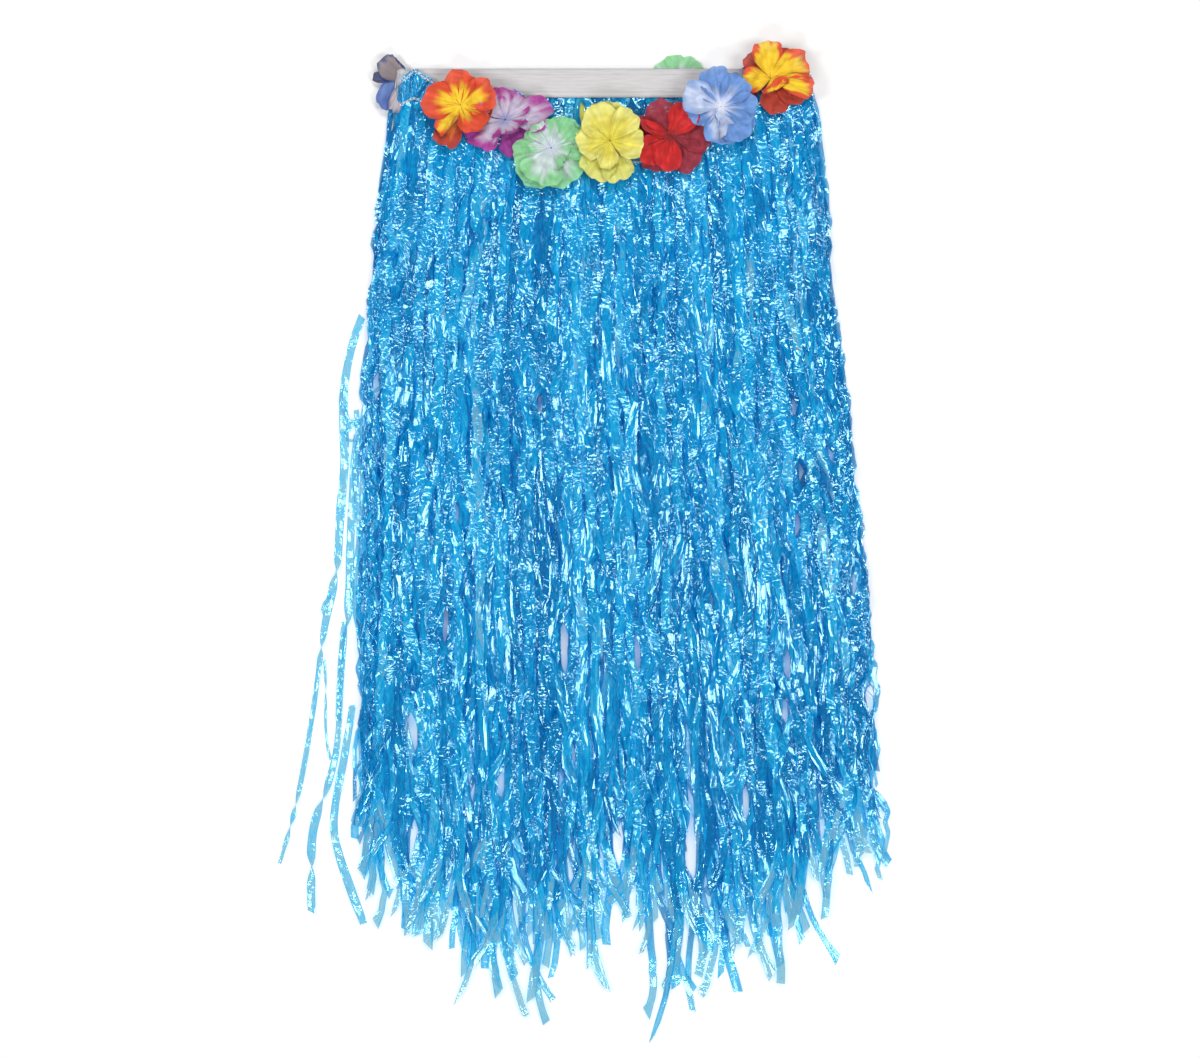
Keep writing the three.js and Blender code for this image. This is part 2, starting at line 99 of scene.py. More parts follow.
floor_mesh = bmesh.new()
bmesh.ops.create_grid(floor_mesh, x_segments=1, y_segments=1, size=FLOOR_SIZE / 2)
bmesh.ops.translate(floor_mesh, vec=(0, 0, -FLOOR_DROP), verts=floor_mesh.verts)
floor_data = bpy.data.meshes.new("table")
floor_mesh.to_mesh(floor_data)
floor_mesh.free()
table_top = bpy.data.objects.new("table", floor_data)
scene.collection.objects.link(table_top)
floor_data.materials.append(finish("table_white", {"Base Color": TABLE_WHITE, "Roughness": 0.9})[0])

# Each lamp: compass bearing from +Y, height over the horizon, width and length in metres.
LAMPS = [
    ("lamp_north", 8, 58, 1.1, 0.50),
    ("lamp_east", 96, 60, 0.48, 1.0),
    ("lamp_south", 188, 62, 0.9, 0.42),
    ("lamp_west", 276, 56, 0.48, 1.0),
]
for name, bearing, height, wide, long in LAMPS:
    lamp_data = bpy.data.lights.new(name, "AREA")
    lamp_data.shape = "RECTANGLE"
    lamp_data.size = wide
    lamp_data.size_y = long
    lamp_data.energy = LAMP_RADIANCE * math.pi * wide * long
    lamp = bpy.data.objects.new(name, lamp_data)
    turn, rise = math.radians(bearing), math.radians(height)
    towards = Vector((
        math.sin(turn) * math.cos(rise), math.cos(turn) * math.cos(rise), math.sin(rise)))
    lamp.location = towards * LAMP_DISTANCE
    lamp.rotation_mode = "QUATERNION"
    lamp.rotation_quaternion = towards.to_track_quat("Z", "Y")
    scene.collection.objects.link(lamp)

camera_data = bpy.data.cameras.new("camera")
camera_data.lens = LENS_MM
camera_data.sensor_width = SENSOR_MM
camera = bpy.data.objects.new("camera", camera_data)
camera.location = (*VIEW_CENTRE, VIEW_HEIGHT + VIEW_WIDTH * LENS_MM / SENSOR_MM)
scene.collection.objects.link(camera)
scene.camera = camera

# ---- Back half of the fringe ----
# Some hundred and sixty flat strands of slit polythene film, each 8 to 9 mm wide, blue and glossy
# and thin enough to see through, gathered on a stitched heading behind the waistband and hanging
# free from there. Each strand is creased, cupped and twisted along its length.
X, Y = 0, 1
FILM_ALPHA = 0.73
FILM_SHADOW = (0.30, 0.65, 0.82, 1)
FILM_IOR = 2.25
FILM_ROUGHNESS = 0.045
FILM_TINT = (0.50, 0.91, 0.98, 1)
FILM_SHADES = [
    (0.25, (0.0002, 0.15, 0.39, 1)), (0.6, (0.001, 0.34, 0.67, 1)), (0.82, (0.012, 0.47, 0.78, 1)),
    (1.0, (0.20, 0.46, 0.60, 1))]
TONE = (0.19, 0.16)
TIP_TONE = 0.76
TIP_FADE = 0.85
EDGE_DARKER = 0.45
STREAK_SHARE = 0.45
STREAK_STRETCH = (420.0, 22.0, 1.0)
# Wrinkle lines in the film's colour: painted shade and reflection of its creases, partly the thicker film
# where it folds.
WRINKLE_TINT_AND_SHADE_SHARE = 0.24
WRINKLE_TINT_AND_SHADE_STRETCH = (300.0, 150.0, 1.0)
CREASE_TEXTURES = (((85.0, 260.0, 1.0), 1.6), ((190.0, 520.0, 1.0), 0.6))
FOLD_STRETCH = (620.0, 13.0, 1.0)
FILM_RELIEF = 0.0003
GLOSS_PLAY = 0.025
# The strands: how wide, how far they wander, turn over and crease, and how their tips end.
STRAND_WIDTH = (0.0078, 0.0094)
LOOSE_WIDTH = (0.35, 0.7)
TURNS = (0.08, 0.14, 0.28, 0.45)
CALM_TURN = 0.2
FLIPS = 2.5
FLIP_HALF = (0.008, 0.03)
CREASE_HALF = (0.0006, 0.0017)
CREASE_STEEP = (0.14, 0.42)
CALM_CREASE = 0.00006
FOLD_HIGH = 0.0004
TIP_BEND = 0.07
TIP_LEAN = 0.15
TIP_SLANT = 0.009
TIP_SPREAD = (-0.035, 0.02, 0.17)
OUTER_TIP = 0.026
# Their wanders: the lengths of the waves each one is made of, and its size.
SWAY_LENGTHS, SWAY = (0.5, 0.24, 0.13), (0.002, 0.007)
FLUTTER = ((0.05, 0.026), 0.0008)
OUTSIDE = ((0.17, 0.07), 0.008)
OUTSIDE_BY = 0.006
EDGE_WANDER = ((0.055, 0.03, 0.02), 0.0013)
DEPTH_WANDER = ((0.4, 0.2), 0.08)
LIFT = ((0.09, 0.06), 0.0016)
TURN_WANDER = ((0.25, 0.11), 1.0)
QUIVER = ((0.06, 0.035), 0.08)
CUP_LENGTHS, CUP, CUP_LEAN = (0.2, 0.09), (0.2, 0.8), 0.4
SLANT_LENGTHS, SLANT = (0.11, 0.06), (0.3, 1.0)
NARROWING = ((0.3, 0.14), 0.8)
TONE_DRIFT = ((0.2, 0.08), 0.1)
# How they fill the solid: its outline and heights are read in steps, and its sides are carried on
# straight below where its locks begin.
INSIDE = 0.0005
SIDE_STEP = 0.004
HEM_STEP = 0.001
FIELD_STEP = 0.006
SKIRT_LOW = -0.262
LEAN_FROM = 0.1
LOCK_DEEP = 0.014
LOCK_STRANDS = ((0, 0), (-0.006, 0.02), (0.008, 0.045))
LOCK_SPAN = 14
CLEAR_UNDER = 0.0008
CLEAR_BOTH = 0.0012
ROOM_OVER = (0.0006, 0.0035)
FINE_LEVEL = 0.55
SIDE_PLAY = (-0.003, 0.006)
EDGE_SHARE = 0.04
LOOSE_SHARE = (0.085, 0.05)
LOOSE_CHANCE = (0.42, 0.3)
# How far the dense strands keep in from the left and right outline, at each height in Y.
DENSE_FROM = [
    (-0.40, 0.010, 0.010), (-0.20, 0.013, 0.012), (-0.05, 0.018, 0.008), (0.10, 0.019, 0.004),
    (0.20, 0.010, 0.002), (0.30, 0.001, 0.001), (0.42, 0.0, 0.0)]
# Where the strands part and the table shows through: middle, half length and half width.
PARTINGS = [
    (-0.018, -0.084, 0.036, 0.0031), (0.030, -0.253, 0.050, 0.0027), (0.091, -0.270, 0.024, 0.0027),
    (-0.040, 0.125, 0.012, 0.0023), (0.183, 0.123, 0.012, 0.0023), (0.214, 0.079, 0.013, 0.0027),
    (0.185, 0.018, 0.015, 0.0031), (0.189, 0.065, 0.014, 0.0023), (0.174, -0.142, 0.018, 0.0031),
    (0.176, -0.101, 0.016, 0.0031), (0.235, -0.037, 0.018, 0.0019), (0.223, -0.213, 0.016, 0.0019),
    (0.252, -0.200, 0.020, 0.0031), (0.248, -0.131, 0.015, 0.0031), (-0.183, 0.142, 0.014, 0.0031),
    (-0.112, 0.031, 0.014, 0.0017), (-0.122, -0.067, 0.018, 0.0019), (0.046, -0.089, 0.022, 0.0023),
    (-0.075, -0.205, 0.024, 0.0023), (-0.150, -0.260, 0.026, 0.0027), (0.140, -0.225, 0.020, 0.0019),
    (-0.010, -0.180, 0.020, 0.0017), (0.110, -0.050, 0.014, 0.0017), (-0.150, -0.160, 0.020, 0.0023),
]


def reach(node, along, places):
    """Lowest and highest place on the other flat axis where a CAD solid crosses each place."""
    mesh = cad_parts[node].data
    points = np.empty(len(mesh.vertices) * 3)
    mesh.vertices.foreach_get("co", points)
    points = points.reshape(-1, 3)
    ends = np.empty(len(mesh.edges) * 2, dtype=int)
    mesh.edges.foreach_get("vertices", ends)
    start, end = points[ends[0::2]], points[ends[1::2]]
    other = 1 - along
    lows, highs = [], []
    for place in places:
        crossing = (start[:, along] < place) != (end[:, along] < place)
        a, b = start[crossing], end[crossing]
        share = (place - a[:, along]) / (b[:, along] - a[:, along])
        found = a[:, other] + share * (b[:, other] - a[:, other])
        lows.append(found.min())
        highs.append(found.max())
    return np.array(lows), np.array(highs)


def evened(values, span):
    """A running mean over this many neighbours to each side."""
    return np.convolve(np.pad(values, span, mode="edge"), np.ones(2 * span + 1) / (2 * span + 1), "valid")


class LyingSolid:
    """The outline and the heights of a CAD solid that lies flat, for strands to be laid in."""

    def __init__(self, node, partings):
        self.partings = partings
        low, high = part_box(node)
        self.ys = np.arange(low[1] + INSIDE, high[1] - INSIDE, SIDE_STEP)
        self.left, self.right = reach(node, Y, self.ys)
        self.xs = np.arange(low[0] + INSIDE, high[0] - INSIDE, HEM_STEP)
        self.foot, self.head = reach(node, X, self.xs)
        self.low, self.high = low, high
        tree = BVHTree.FromObject(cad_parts[node], bpy.context.evaluated_depsgraph_get())
        self.grid_x = np.arange(low[0], high[0] + FIELD_STEP, FIELD_STEP)
        self.grid_y = np.arange(low[1], high[1] + FIELD_STEP, FIELD_STEP)
        self.under = self.heights(tree, -1.0, 1.0)
        self.top = self.heights(tree, 1.0, -1.0)

    def heights(self, tree, start_z, way):
        """The first height that rays along Z find over a grid, carried on where they miss."""
        rows = []
        row = np.zeros(len(self.grid_x))
        for y in self.grid_y:
            hits = [tree.ray_cast(Vector((x, y, start_z)), Vector((0, 0, way)))[0] for x in self.grid_x]
            found = [i for i, hit in enumerate(hits) if hit is not None]
            if found:
                row = np.interp(self.grid_x, self.grid_x[found], [hits[i].z for i in found])
            rows.append(row)
        return np.array(rows)

    def at(self, field, x, y):
        """The height that a grid of heights has at any place."""
        column = np.clip((x - self.grid_x[0]) / FIELD_STEP, 0, len(self.grid_x) - 1.001)
        line = np.clip((y - self.grid_y[0]) / FIELD_STEP, 0, len(self.grid_y) - 1.001)
        c, r = column.astype(int), line.astype(int)
        s, t = column - c, line - r
        lower = field[r, c] * (1 - s) + field[r, c + 1] * s
        upper = field[r + 1, c] * (1 - s) + field[r + 1, c + 1] * s
        return lower * (1 - t) + upper * t

    def side(self, edge, y):
        """A side of the fringe, carried on straight below where its locks begin."""
        base, above = np.interp([SKIRT_LOW, SKIRT_LOW + LEAN_FROM], self.ys, edge)
        lean = (above - base) / LEAN_FROM
        return np.where(y >= SKIRT_LOW, np.interp(y, self.ys, edge), base + lean * (y - SKIRT_LOW))

    def across(self, share, y):
        """The place in X at a share of the width."""
        left = self.side(self.left, y)
        return left + share * (self.side(self.right, y) - left)

    def locks(self):
        """Where single locks reach below the dense hem: each one's X and tip."""
        wide = np.pad(self.foot, LOCK_SPAN, mode="edge")
        hem = np.max([wide[i:i + len(self.foot)] for i in range(2 * LOCK_SPAN + 1)], axis=0)
        self.hem = evened(hem, LOCK_SPAN)
        deep = self.foot < hem - LOCK_DEEP
        found, begun = [], None
        for i, flag in enumerate(np.append(deep, False)):
            if flag and begun is None:
                begun = i
            elif not flag and begun is not None:
                found.append((self.xs[begun:i].mean(), self.foot[begun:i].min()))
                begun = None
        return found


def waves(rng, run, lengths, size):
    """A smooth wander along a strand, made of one wave of each length."""
    total = np.zeros_like(run)
    for length in lengths:
        total += np.sin(run / length * 2 * math.pi * rng.uniform(0.8, 1.25) + rng.uniform(0, 2 * math.pi))
    return size * total / math.sqrt(len(lengths))


def smooth_step(low, high, value):
    """0 below one value, 1 above the other, and eased between them."""
    share = np.clip((value - low) / (high - low), 0, 1)
    return share * share * (3 - 2 * share)


def crumpled_run(rng, length, row_step, crease_step, crumpled):
    """The rows of a strand: even ones, and three for each crease, which lifts the middle one.

    Crumpled says, at every even row, how likely a crease is there. Gives each row's distance along
    the strand and its lift, and where across the strand the crease is highest and how far it runs.
    """
    even = np.arange(0, length, row_step)
    even[-1] = length
    creases = np.cumsum(rng.uniform(0.4, 1.6, int(1.3 * length / crease_step)) * crease_step)
    creases = creases[creases < length - 2 * CREASE_HALF[1]]
    likely = np.interp(creases, even, crumpled(even))
    creases = creases[rng.uniform(size=len(creases)) < likely]
    half = rng.uniform(*CREASE_HALF, len(creases))
    high = half * rng.uniform(*CREASE_STEEP, len(creases)) * rng.choice((-1, 1), len(creases))
    run = np.concatenate([even, creases - half, creases, creases + half])
    lift = np.concatenate([np.zeros(len(even) + len(creases)), high, np.zeros(len(creases))])
    order = np.argsort(run)
    peak = rng.uniform(-0.5, 0.5, len(run))
    spread = rng.uniform(0.7, 3.0, len(run))
    return run[order], lift[order], peak, spread


def drawn_together(x, y):
    """How strands lying side by side have drawn together there, into locks a few strands wide."""
    fine = np.sin(x / 0.0037 + 1.6 * np.sin(y / 0.10 + 1.0) + 0.5 * np.sin(y / 0.03))
    broad = np.sin(x / 0.0062 + 1.5 * np.sin(y / 0.13 + 2.0))
    return -(0.0014 * fine + 0.0024 * broad) * smooth_step(-0.36, -0.24, -y)


def lively(x, y):
    """Where heat has crumpled the film more: in columns and patches, and less towards the hem."""
    columns = np.sin(x / 0.011 + 1.8 * np.sin(y / 0.09))
    patches = np.sin(y / 0.047 + 2.2 * np.sin(x / 0.027) + 1.0)
    return 0.30 * columns + 0.26 * patches + 0.84 * smooth_step(-0.35, 0.22, y) - 0.26


def stepped_aside(rng, partings, x, y, half_wide):
    """A strand's way round every parting near it."""
    for mid_x, mid_y, half_long, half_gap in partings:
        near = smooth_step(0.5, 1.4, np.abs(y - mid_y - rng.normal(0, 0.15 * half_long)) / half_long)
        profile = (1 - near) * rng.uniform(0.8, 1.1)
        if profile.max() == 0:
            continue
        away = x - mid_x
        side = 1 if np.interp(-mid_y, -y, away) >= 0 else -1
        x = x + side * (np.hypot(away, (half_wide + half_gap) * profile) - np.abs(away))
    return x


def edged(columns):
    """Where the lines of points run across a strand, from -0.5 to 0.5, closest at its edges."""
    return np.sin(np.linspace(-math.pi / 2, math.pi / 2, columns + 1)) / 2


def strand_points(rng, centre, width, twist, cup, slant, crease, calm, columns):
    """One strand of film along a centre line: cupped across, twisted round it and creased.

    Crease is each row's lift, where across the strand it is highest, and how far it reaches. Calm
    is the share of its long folds that each row keeps.
    """
    along = np.gradient(centre[:, :2], axis=0)
    along /= np.linalg.norm(along, axis=1)[:, None]
    side = np.stack([-along[:, 1], along[:, 0]], axis=1)
    across = edged(columns)[None, :]
    bend = np.where(np.abs(cup) < 0.05, 0.05, cup)[:, None]
    flat = np.sin(bend * across) / bend
    rise = (1 - np.cos(bend * across)) / bend
    high, peak, spread = (values[:, None] for values in crease)
    lift = high * np.clip(1 - np.abs(across - peak) / spread, 0, 1)
    lift = lift + CALM_CREASE * rng.normal(size=lift.shape)
    down = np.arange(len(centre)) / len(centre)
    drift = 2 * np.sin(down * rng.uniform(5, 16) + rng.uniform(0, 6))[:, None]
    lift += FOLD_HIGH * rng.uniform(0.2, 1.4) * calm[:, None] * np.cos(across * rng.uniform(5, 14) + drift)
    cos, sin = np.cos(twist)[:, None], np.sin(twist)[:, None]
    w = width[:, None]
    out = w * (flat * cos - rise * sin) - lift * sin
    up = w * (flat * sin + rise * cos) + lift * cos
    ahead = w * across * slant[:, None]
    points = np.empty((len(centre), columns + 1, 3))
    for axis in (X, Y):
        points[..., axis] = centre[:, None, axis] + side[:, None, axis] * out + along[:, None, axis] * ahead
    points[..., 2] = np.maximum(centre[:, None, 2] + up, 0.0002)
    return points


def film_part(points, tone, heat, edge, run, offset, skew, width, length):
    """A strand ready to be joined to others, darker at its edges, and its place on the film.

    Offset and skew say where and how askew it was cut from the film that its textures lie on.
    """
    tone[:, [0, -1]] -= EDGE_DARKER
    crumple = np.repeat((0.2 + 0.8 * heat)[:, None], points.shape[1], axis=1)
    line = run[:, None]
    places = np.zeros_like(points)
    places[..., 0] = edge * math.cos(skew) - line * math.sin(skew) + offset
    places[..., 1] = edge * math.sin(skew) + line * math.cos(skew) + 3 * offset
    return {
        "points": points, "tone": tone, "crumple": crumple, "run": places, "width": width, "length": length}


def laid_grid(name, parts, material, smooth=True):
    """Joins grids of points into one mesh: each part has points, and attributes for its material."""
    bm = bmesh.new()
    for part in parts:
        rows, columns = part["points"].shape[:2]
        bmesh.ops.create_grid(bm, x_segments=columns - 1, y_segments=rows - 1, size=0.5)
    mesh = bpy.data.meshes.new(name)
    bm.to_mesh(mesh)
    bm.free()
    mesh.vertices.foreach_set("co", np.concatenate([part["points"].reshape(-1) for part in parts]))
    kinds = {"run": ("FLOAT_VECTOR", "vector"), "dye": ("FLOAT_COLOR", "color")}
    for key in [key for key in parts[0] if key in ("tone", "crumple", "run", "dye")]:
        kind, field = kinds.get(key, ("FLOAT", "value"))
        values = mesh.attributes.new(key, kind, "POINT")
        values.data.foreach_set(field, np.concatenate([part[key].reshape(-1) for part in parts]))
    mesh.polygons.foreach_set("use_smooth", np.full(len(mesh.polygons), smooth))
    mesh.materials.append(material)
    mesh.update()
    piece = bpy.data.objects.new(name, mesh)
    scene.collection.objects.link(piece)
    return piece


def noise(tree, place, stretch=None, values=None):
    """Noise at a place, squeezed along each axis by its own number of waves in a metre."""
    if stretch:
        place = added(tree, "Mapping", {"Scale": stretch}, {"Vector": place}).outputs["Vector"]
    return added(tree, "TexNoise", {"Scale": 1.0, **(values or {})}, {"Vector": place}).outputs["Fac"]


def maths(tree, operation, *inputs):
    """The result of a Math node: each input is a number, or the output that feeds it."""
    node = added(tree, "Math", operation=operation)
    for socket, value in zip(node.inputs, inputs):
        if isinstance(value, bpy.types.NodeSocket):
            tree.links.new(value, socket)
        else:
            socket.default_value = value
    return node.outputs[0]


def ramp(tree, share, stops):
    """The colour at a share of the way along a ramp of stops, each a place and its colour."""
    node = added(tree, "ValToRGB", feeds={"Fac": share})
    elements = node.color_ramp.elements
    for end, (place, colour) in ((0, stops[0]), (1, stops[-1])):
        elements[end].position = place
        elements[end].color = colour
    for place, colour in stops[1:-1]:
        elements.new(place).color = colour
    return node.outputs["Color"]


def film_finish(name):
    """Blue polythene film: a tone for each strand, streaks along it, creases across it, and wrinkle lines of
    painted shade and reflection in its colour.
    """
    material, tree, shader = finish(name, {"Alpha": FILM_ALPHA, "IOR": FILM_IOR, "Specular Tint": FILM_TINT})
    tone = added(tree, "Attribute", attribute_name="tone").outputs["Fac"]
    run = added(tree, "Attribute", attribute_name="run").outputs["Vector"]
    crumple = added(tree, "Attribute", attribute_name="crumple").outputs["Fac"]
    streaks = noise(tree, run, STREAK_STRETCH, {"Detail": 3.0})
    # Painted shade and reflection: thin darker and lighter wrinkle lines in the colour, partly the thicker
    # film where it folds.
    wrinkle_tint_and_shade = noise(tree, run, WRINKLE_TINT_AND_SHADE_STRETCH, {"Detail": 2.0, "Distortion": 1.2})
    ridged_tint_and_shade = added(tree, "MapRange", {"From Min": 0.35, "From Max": 0.65}, {"Value": wrinkle_tint_and_shade},
                   interpolation_type="SMOOTHSTEP")
    shade = maths(tree, "MULTIPLY_ADD", streaks, STREAK_SHARE, tone)
    shade = maths(tree, "MULTIPLY_ADD", ridged_tint_and_shade.outputs["Result"], WRINKLE_TINT_AND_SHADE_SHARE, shade)
    tree.links.new(ramp(tree, shade, FILM_SHADES), shader.inputs["Base Color"])
    gloss = added(tree, "MapRange", {
        "To Min": FILM_ROUGHNESS - GLOSS_PLAY, "To Max": FILM_ROUGHNESS + GLOSS_PLAY}, {"Value": streaks})
    tree.links.new(gloss.outputs["Result"], shader.inputs["Roughness"])
    # Fine sharp creases run across the film, crowded in some stretches and faint in others.
    creases = 0.0
    for stretch, share in CREASE_TEXTURES:
        crease = noise(tree, run, stretch, {"Detail": 0.0, "Distortion": 0.5})
        folded = maths(tree, "ABSOLUTE", maths(tree, "SUBTRACT", crease, 0.5))
        creases = maths(tree, "MULTIPLY_ADD", folded, share, creases)
    # Long folds run down it where it is calm.
    folds = noise(tree, run, FOLD_STRETCH, {"Detail": 1.0})
    folds = maths(tree, "ABSOLUTE", maths(tree, "SUBTRACT", folds, 0.5))
    relief = added(tree, "Mix", feeds={"Factor": crumple, "A": folds, "B": creases})
    bump = added(tree, "Bump", {"Strength": 1.0, "Distance": FILM_RELIEF},
                 {"Height": relief.outputs["Result"]})
    tree.links.new(bump.outputs["Normal"], shader.inputs["Normal"])
    # The film colours the light that falls through it.
    rays = added(tree, "LightPath")
    coloured_light = added(tree, "BsdfTransparent", {"Color": FILM_SHADOW})
    either = added(tree, "MixShader", feeds={
        "Fac": rays.outputs["Is Shadow Ray"], 1: shader.outputs["BSDF"], 2: coloured_light.outputs["BSDF"]})
    tree.links.new(either.outputs["Shader"], tree.nodes["Material Output"].inputs["Surface"])
    return material


raffia = film_finish("raffia_film")


def fringe_strand(rng, solid, share, share_end, tip, level, grain, stray, outer_tip):
    """A strand from the heading at one share of the width to its tip at another.

    Grain is its row spacing, crease spacing and columns. Stray is -1 or 1 for a strand that hangs
    loose outside the others, at the left or the right. An outer tip hangs below most others,
    single and so paler.
    """
    row_step, crease_step, columns = grain
    x_head = solid.across(share, solid.high[1])
    head = np.interp(x_head, solid.xs, solid.head) - 0.001
    length = head - tip
    shift, long = rng.uniform(-0.3, 0.3), rng.uniform(0.09, 0.2)
    wander = np.random.default_rng(rng.integers(1 << 30))
    clusters = waves(wander, np.arange(0, length + row_step, row_step), (long, long / 2.3, 0.04), 0.8)
    clusters += lively(x_head, head - np.arange(len(clusters)) * row_step)
    clusters = smooth_step(0.0, 0.5, clusters + shift)

    def crumpled(at):
        return np.interp(at, np.arange(len(clusters)) * row_step, clusters)

    run, *crease = crumpled_run(rng, length, row_step, crease_step, crumpled)
    heat = crumpled(run)
    down = run / length
    y = head - run
    sway = waves(rng, run, SWAY_LENGTHS, rng.uniform(*SWAY)) * smooth_step(0.02, 0.5, down)
    sway += waves(rng, run, *FLUTTER) * (0.2 + 0.8 * heat)
    x = solid.across(share + (share_end - share) * smooth_step(0.25, 1.0, down), y) + sway
    x += drawn_together(x, y)
    left, right = solid.across(0.0, y), solid.across(1.0, y)
    heights, keep_left, keep_right = np.array(DENSE_FROM).T
    if stray:
        outside = waves(rng, run, *OUTSIDE) * smooth_step(0.1, 0.4, down) + OUTSIDE_BY
        x = left + outside if stray < 0 else right - outside
    else:
        left = left + np.interp(y, heights, keep_left)
        right = right - np.interp(y, heights, keep_right)
    x = np.clip(x, left + rng.uniform(*SIDE_PLAY), right - rng.uniform(*SIDE_PLAY))
    wide = rng.uniform(*STRAND_WIDTH) * (rng.uniform(*LOOSE_WIDTH) if stray else 1)
    x = stepped_aside(rng, solid.partings, x, y, wide / 2)
    below_turn = np.clip(run - (length - TIP_BEND), 0, None)
    x += rng.normal(0, TIP_LEAN) * below_turn ** 2 / TIP_BEND
    x = np.clip(x, solid.across(0.0, y) - 0.001, solid.across(1.0, y) + 0.001)
    if min(share, 1 - share) < EDGE_SHARE:
        x += waves(rng, run, *EDGE_WANDER) * smooth_step(0.05, 0.15, run)
    under, top = solid.at(solid.under, x, y), solid.at(solid.top, x, y)
    inner = np.clip(level + waves(rng, run, *DEPTH_WANDER), 0.02, 1)
    z = under + CLEAR_UNDER + (top - under - CLEAR_BOTH) * inner
    z += waves(rng, run, *LIFT) * (CALM_TURN + (1 - CALM_TURN) * heat)
    turns = rng.choice(TURNS) * np.tanh(2.2 * waves(rng, run, *TURN_WANDER))
    turns = (turns + waves(rng, run, *QUIVER)) * (1 - 0.5 * heat)
    flips = np.zeros_like(run)
    for _ in range(rng.poisson(FLIPS)):
        at = rng.uniform(0.06, 0.94) * length
        half = rng.uniform(*FLIP_HALF)
        flips += math.pi * rng.choice((-1, 1)) * smooth_step(at - half, at + half, run)
    settle = 1 - smooth_step(0.86, 0.97, down)
    twist = turns * settle + flips
    cup = waves(rng, run, CUP_LENGTHS, rng.uniform(*CUP)) + rng.uniform(-CUP_LEAN, CUP_LEAN)
    cup = cup * (1 - 0.7 * heat)
    slant = waves(rng, run, SLANT_LENGTHS, rng.uniform(*SLANT)) * settle
    centre = np.stack([x, y, z], axis=1)
    gathered = 1 - 0.35 * (1 - smooth_step(0.0, 0.05, run))
    gathered *= 1 - rng.uniform(0.0, 0.5) * smooth_step(length - 0.13, length - 0.05, run)
    gathered *= 1 - rng.uniform(0.0, 0.45) * smooth_step(0.1, 1.0, waves(rng, run, *NARROWING)) * settle
    points = strand_points(rng, centre, wide * gathered, twist, cup, slant, crease, 1 - 0.8 * heat, columns)
    room = top + ROOM_OVER[0] + ROOM_OVER[1] * smooth_step(0.07, 0.16, run)
    points[..., 2] = np.minimum(points[..., 2], room[:, None])
    points[-1, :, 1] += edged(columns) * rng.uniform(-TIP_SLANT, TIP_SLANT)
    tone = rng.normal(*TONE) + waves(rng, run, *TONE_DRIFT)[:, None] + np.zeros(columns + 1)
    tone -= 0.07 * (smooth_step(0.02, 0.2, x) * smooth_step(0.0, 0.2, -y))[:, None]
    if outer_tip:
        fade = TIP_FADE * smooth_step(length - 0.06, length - 0.02, run)[:, None]
        tone = tone * (1 - fade) + TIP_TONE * fade
    offset = rng.uniform(0, 40)
    skew = rng.uniform(-0.5, 0.5)
    return film_part(points, tone, heat, edged(columns)[None, :] * wide, run, offset, skew, wide, length)


def fringe_half(rng, solid, count, coarse, fine):
    """Every strand of one half: an even row along the heading, then the locks at the hem.

    Coarse and fine are the row spacing, crease spacing and columns of a strand that lies deep in
    the half or near its top.
    """
    locks = solid.locks()
    foot = solid.low[1] + LEAN_FROM
    strands = []

    def add(share, share_end, tip, stray, outer_tip):
        level = rng.uniform(0, 1)
        grain = fine if level > FINE_LEVEL else coarse
        strands.append(fringe_strand(rng, solid, share, share_end, tip, level, grain, stray, outer_tip))

    for i in range(count):
        share = (i + rng.uniform(0.1, 0.9)) / count
        share_end = np.clip(share + rng.normal(0, 0.012), 0, 1)
        stray = 0
        if share < LOOSE_SHARE[0] and rng.uniform() < LOOSE_CHANCE[0]:
            stray = -1
        elif share > 1 - LOOSE_SHARE[1] and rng.uniform() < LOOSE_CHANCE[1]:
            stray = 1
        x_end = solid.across(share_end, foot)
        hem = np.interp(x_end, solid.xs, solid.hem)
        above_hem = rng.triangular(*TIP_SPREAD)
        add(share, share_end, hem + above_hem, stray, above_hem < OUTER_TIP)
    left, right = solid.across(0.0, foot), solid.across(1.0, foot)
    for x_lock, tip_lock in locks:
        for beside, above in LOCK_STRANDS:
            tip = tip_lock + above + rng.uniform(0, 0.01)
            share_end = np.clip((x_lock + beside - left) / (right - left), 0, 1)
            add(np.clip(share_end + rng.normal(0, 0.012), 0, 1), share_end, tip, 0, True)
    return strands


# Just under its heading the back half is thin, and the flowers behind it show through its slits.
SLIT_XS = np.arange(-0.090, 0.115, 0.0068)
SLIT_Y = 0.379
SLIT_HALF_LONG = 0.012
rng = np.random.default_rng(5)
heading_slits = []
for x in SLIT_XS:
    middle = (x + rng.uniform(-0.002, 0.002), SLIT_Y + rng.uniform(-0.004, 0.004))
    heading_slits.append((*middle, SLIT_HALF_LONG, rng.uniform(-0.0004, 0.0009)))
BACK_STRANDS = 120
BACK_COARSE, BACK_FINE = (0.010, 0.04, 2), (0.008, 0.006, 4)
back_solid = LyingSolid("fringe_back", PARTINGS + heading_slits)
back_strands = fringe_half(np.random.default_rng(11), back_solid, BACK_STRANDS, BACK_COARSE, BACK_FINE)
raffia_back = laid_grid("raffia_back", back_strands, raffia, smooth=False)
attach(raffia_back, "root")
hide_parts("fringe_back")

